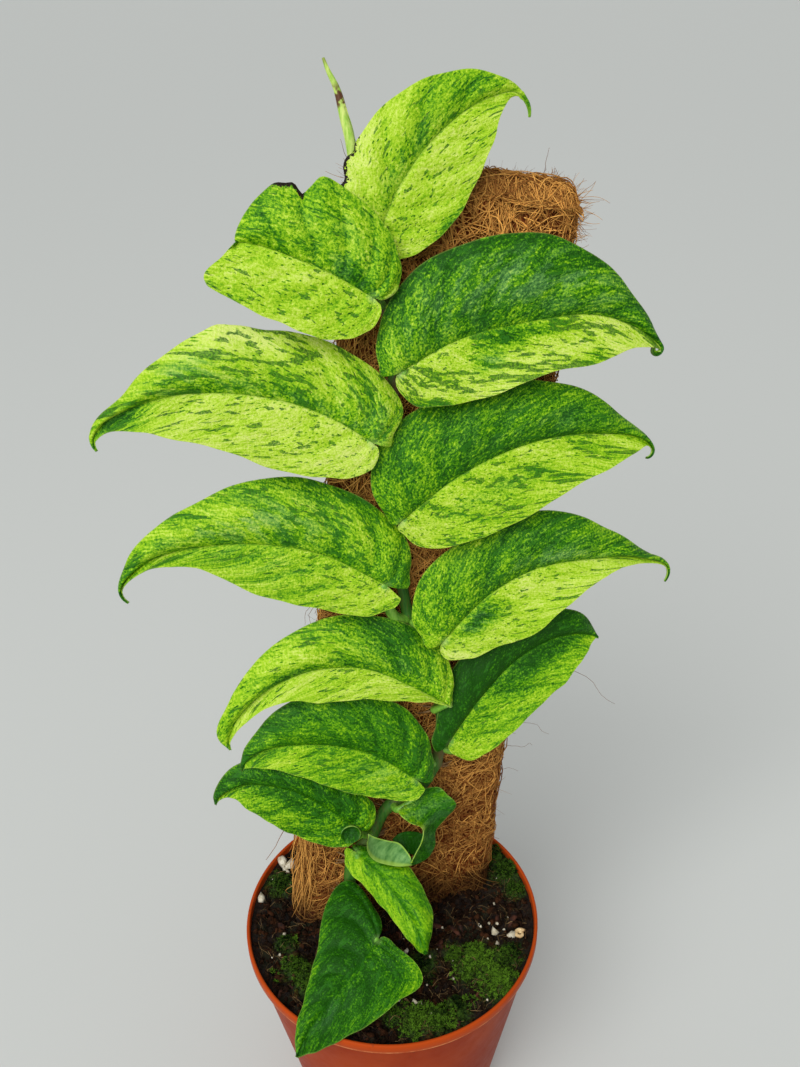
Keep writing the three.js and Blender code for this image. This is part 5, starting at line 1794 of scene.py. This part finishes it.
class PLANT_OT_leaves(Builder, bpy.types.Operator):
    """Grow the shingled and the hanging leaves with their stalks"""

    bl_idname = "plant.leaves"
    bl_label = "Leaves"

    def build(self, sizes):
        materials = leaf_materials(sizes)
        t, r = blade_grid(BLADE_ROWS, BLADE_COLUMNS)
        for number, (name, given) in enumerate(LEAVES.items()):
            leaf = {**USUAL_LEAF, "turn": USUAL_TURN * given["side"], **given}
            if leaf["place"]:
                leaf.update(lift=0, lean=0)
            surface, facts = blade_surface(leaf, t, r, sizes.relief, number + 1)
            if leaf["side"] == RIGHT:
                surface, facts = mirrored(surface, facts)
            if leaf["place"]:
                surface = to_board(from_tilted(surface, leaf["place"], leaf["tilt"]))
            edge = np.abs(facts["blade_place"][..., 0])
            thickness = sizes.blade_thickness / MM * (1 - 0.75 * edge**6)
            base = surface[STALK_ROW, BLADE_COLUMNS // 2]
            stalk = stalk_rod(leaf["node"], leaf["turn"], leaf["bend"], base, leaf["stalk"], 16)
            piece = blade_piece(f"{name}_blade", surface, facts, thickness, stalk)
            dress(piece, [name], materials)
        self.rolled_lobe(materials)

    def rolled_lobe(self, materials):
        """The dark green basal lobe of the third leaf, rolled up into a small cup with a pale rim. The cup
        is painted darker towards its middle as painted shade.
        """
        rho, angle = np.meshgrid(np.linspace(0.02, 1, 16), np.linspace(0, 2 * np.pi, 40), indexing="ij")
        x = -27.3 + 3.9 * rho * np.cos(angle)
        y = 50.6 + 3.4 * rho * np.sin(angle)
        z = 17.6 - 2.6 * np.sqrt(np.maximum(1 - rho**2, 0)) - 0.6 * np.sin(angle) * rho
        facts = leaf_facts(
            place=(0 * rho + 0.5, 0, 5),
            grain=(x * 1.5 + 700, y * 1.5, 0.6),
            flat=(x + 700, y, 0),
            # Painted shade: the greenness rises towards the hollow middle of the cup.
            tone=(0.8 + 0.35 * (1 - rho**2), 0.5, 0),
            wear=(0, (1 - rho) * 3.6 + 0.4 * (1 - np.cos(angle - 0.8)), 9),
        )
        surface, facts = mirrored(stack(x, y, z), facts)
        piece = blade_piece("leaf_03_lobe", surface, facts, 0.4 * (1 - 0.6 * rho**6))
        dress(piece, [], materials)


class PLANT_OT_curled_leaf(Builder, bpy.types.Operator):
    """Grow the small curled leaf"""

    bl_idname = "plant.curled_leaf"
    bl_label = "Curled leaf"

    def build(self, sizes):
        rows, columns = 150, 31
        share = np.linspace(0, 1, rows)
        reach = np.linspace(0, 1, columns)[None, :, None]
        both = np.concatenate([CURLED_OUTER, CURLED_INNER], axis=1)
        edges = along(both, share)[:, None]
        outer, inner = edges[..., :3], edges[..., 3:]
        surface = outer + (inner - outer) * reach
        r = np.broadcast_to(2 * reach[..., 0] - 1, (rows, columns))
        s = share[:, None] * np.ones(columns)
        width = np.linalg.norm(inner - outer, axis=-1)
        normal = unit(np.cross(np.gradient(surface, axis=1), np.gradient(surface, axis=0)))
        cup = 1 + 0.9 * ease(s, CURLED_TURN, 0.75)
        hollow = 0.14 * cup * width * (r**2 - 1) + 0.35 * np.abs(np.sin(np.pi * 8 * s)) * (1 - np.abs(r))
        surface = surface + normal * hollow[..., None]
        start = surface[1, columns // 2]
        stalk = stalk_rod(CURLED_NODE, 0, None, start, (1.7, 1.2), 14)
        in_cup = ease(s, CURLED_TURN - 0.02, CURLED_TURN + 0.02)
        from_margin = (1 - np.abs(r)) * width / 2 * (1 - 0.6 * in_cup * (r < 0))
        lime_edge = bell(s, 0.45, 0.2) * ease(r, 0.35, 0.75)
        green = 0.92 - 0.22 * ease(r, -0.2, 0.6) - 0.5 * lime_edge - 0.12 * bell(s, 0.12, 0.12)
        facts = leaf_facts(
            place=(r, s, 5),
            grain=(s * 70 + 900, r * width / 2, 0.6),
            flat=(surface[..., 0] + 900, surface[..., 1], 0),
            tone=(green, 0.5, 0.1),
            wear=(2.5 * ease(s, 0.955, 1.0), from_margin, 9),
        )
        thickness = sizes.blade_thickness / MM * (1 - 0.75 * np.abs(r) ** 6)
        back_rows = round((1 - CURLED_TURN) * rows)
        piece = blade_piece("leaf_04_blade", surface, facts, thickness, stalk, back_rows)
        dress(piece, ["leaf_04"], leaf_materials(sizes))
        self.inner_turn(sizes)

    def inner_turn(self, sizes):
        """The part of the blade that shows through the loop, painted very dark green as painted shade."""
        share = np.linspace(0, 1, 24)
        reach = np.linspace(0, 1, 10)[None, :, None]
        high = along([(-8, 40.5, 9), (-5.6, 42.8, 9), (2.1, 43, 9), (5.5, 42, 10)], share)[:, None]
        low = along([(-7, 38.6, 13), (-2, 37, 14), (1.3, 35.5, 14), (5, 34.8, 13.5)], share)[:, None]
        surface = high + (low - high) * reach
        surface = surface - [0, 0, 1.0] * np.sin(np.pi * reach)
        x = surface[..., 0]
        y = surface[..., 1]
        facts = leaf_facts(
            place=(0 * x + 0.5, 0, 5),
            grain=(x + 950, y, 0.5),
            flat=(x + 950, y, 0),
            tone=(0 * x + 1.15, 0, 0),
            # Painted shade: a greenness past the darkest green, for the shade inside the loop.
            wear=(0 * x, 3, 9),
        )
        piece = blade_piece("leaf_04_inside", surface, facts, 0 * x + 0.35)
        dress(piece, [], leaf_materials(sizes))


class PLANT_OT_shoot(Builder, bpy.types.Operator):
    """Roll up the new leaf at the stem's tip"""

    bl_idname = "plant.shoot"
    bl_label = "New shoot"

    def build(self, sizes):
        steps, around = 90, 40
        share = np.linspace(0, 1, steps)
        path = along(SHOOT_PATH, share)
        heading = unit(np.gradient(path, axis=0))
        side = unit(np.cross(heading, [0, 0, 1.0]))
        out = np.cross(side, heading)
        turn = np.linspace(0, 3.2 * np.pi, around)
        radius = 0.35 + 1.6 * (1 - share**2.2)
        wrap = (0.72 + 0.28 * turn / turn[-1])[None]
        spiral = turn[None] + 5 * share[:, None]
        ring = side[:, None] * np.cos(spiral)[..., None] + out[:, None] * np.sin(spiral)[..., None]
        surface = path[:, None] + ring * (radius[:, None] * wrap)[..., None]
        points, front, back = solid_sheet(surface, np.full((steps, around), 0.22))
        shoot = new_piece("rolled_shoot", from_board(points), [front, back])
        add_attribute(shoot, "up_the_shoot", "FLOAT", np.tile(np.repeat(share, around), 2))
        dress(shoot, ["new_shoot"], [self.material()])

    def material(self):
        """Pale lime, with a brown scar on the upper half and a browned tip."""
        n = Nodes("rolled_leaf")
        place = n.object_place()
        up = n.attribute("up_the_shoot", "Fac")
        mottle = n.noise(place, (900, 900, 200), 3.0, 0.6)
        color = n.ramp(mottle, (0.35, "#8fbf3c"), (0.65, "#cfe07a"))
        scar = n.times(n.steps(up, 0.62, 0.68), n.fall(up, 0.76, 0.84))
        patch = n.times(scar, n.steps(n.noise(place, 260.0, 3.0), 0.42, 0.52))
        color = n.mix(patch, color, "#5a3820")
        color = n.mix(n.times(n.steps(up, 0.93, 0.99), 0.6), color, "#7d7636")
        return n.finish(color, 0.4, 0.35, n.bump(mottle, 0.2, 0.0003))


class PLANT_OT_stage(Builder, bpy.types.Operator):
    """Lay the pale floor, light it softly and set the camera"""

    bl_idname = "plant.stage"
    bl_label = "Floor, light and camera"

    def build(self, sizes):
        scene = bpy.context.scene
        self.floor()
        self.lights(scene)
        self.camera(scene)

    def floor(self):
        """A flat floor wide enough to fill the view behind the plant."""
        reach = 90.0
        corners = [(-reach, -reach, 0), (reach, -reach, 0), (reach, reach, 0), (-reach, reach, 0)]
        mesh = bpy.data.meshes.new("floor")
        mesh.from_pydata(corners, [], [(0, 1, 2, 3)])
        floor = new_object("floor", mesh)
        mesh.materials.append(Nodes("pale_floor").finish("#cbcdc9", 0.9, 0.1))

    def lights(self, scene):
        """An even sky, one wide soft sun from the upper left and a large soft window in front."""
        world = bpy.data.worlds.new("soft_room")
        world.use_nodes = True
        back = world.node_tree.nodes["Background"]
        back.inputs["Color"].default_value = shade("#f2f5f7")
        back.inputs["Strength"].default_value = 0.5
        scene.world = world
        sun = bpy.data.lights.new("soft_sun", "SUN")
        sun.energy = 2.0
        sun.angle = math.radians(50)
        self.aim("soft_sun", sun, (-0.6, -1.2, 1.1), (0, 0, 0))
        window = bpy.data.lights.new("window", "AREA")
        window.size = 1.1
        window.energy = 5
        self.aim("window", window, (-0.35, -0.85, 1.2), (0, 0, 0.2))

    def aim(self, name, light, place, target):
        """Hang a light at a place and turn it to a target."""
        lamp = new_object(name, light)
        lamp.location = place
        lamp.rotation_euler = (Vector(target) - Vector(place)).to_track_quat("-Z", "Y").to_euler()

    def camera(self, scene):
        """The photograph's view: looking down, turned a little about its own axis."""
        camera = bpy.data.cameras.new("photo_view")
        camera.sensor_fit = "VERTICAL"
        camera.sensor_height = SENSOR_HEIGHT
        camera.lens = SENSOR_HEIGHT * FOCAL_LENGTH / PHOTO_HEIGHT
        camera.clip_start = 0.01
        camera.clip_end = 400.0
        viewer = new_object("photo_view", camera)
        look_down = Matrix.Rotation(math.radians(90 - CAMERA_PITCH), 4, "X")
        roll = Matrix.Rotation(math.radians(CAMERA_ROLL), 4, "Z")
        viewer.matrix_world = Matrix.Translation(CAMERA_PLACE) @ look_down @ roll
        scene.camera = viewer
        scene.view_settings.view_transform = "Standard"


BUILDERS = (
    PLANT_OT_pot, PLANT_OT_soil, PLANT_OT_litter, PLANT_OT_moss, PLANT_OT_board, PLANT_OT_fibres,
    PLANT_OT_slat, PLANT_OT_stem, PLANT_OT_leaves, PLANT_OT_curled_leaf, PLANT_OT_shoot, PLANT_OT_stage,
)


class PLANT_PT_panel(bpy.types.Panel):
    """Sizes, colours and builders of the plant"""

    bl_idname = "PLANT_PT_panel"
    bl_label = "Potted shingle plant"
    bl_space_type = "VIEW_3D"
    bl_region_type = "UI"
    bl_category = "Plant"

    def draw(self, context):
        sizes = context.scene.plant_sizes
        for name in PlantSizes.__annotations__:
            self.layout.prop(sizes, name)
        for builder in BUILDERS:
            self.layout.operator(builder.bl_idname)


CLASSES = (PlantSizes, *BUILDERS, PLANT_PT_panel)


def register():
    for item in CLASSES:
        bpy.utils.register_class(item)
    bpy.types.Scene.plant_sizes = bpy.props.PointerProperty(type=PlantSizes)


def unregister():
    del bpy.types.Scene.plant_sizes
    for item in reversed(CLASSES):
        bpy.utils.unregister_class(item)


def main():
    register()
    for builder in BUILDERS:
        group, name = builder.bl_idname.split(".")
        getattr(getattr(bpy.ops, group), name)()


if __name__ == "__main__":
    main()
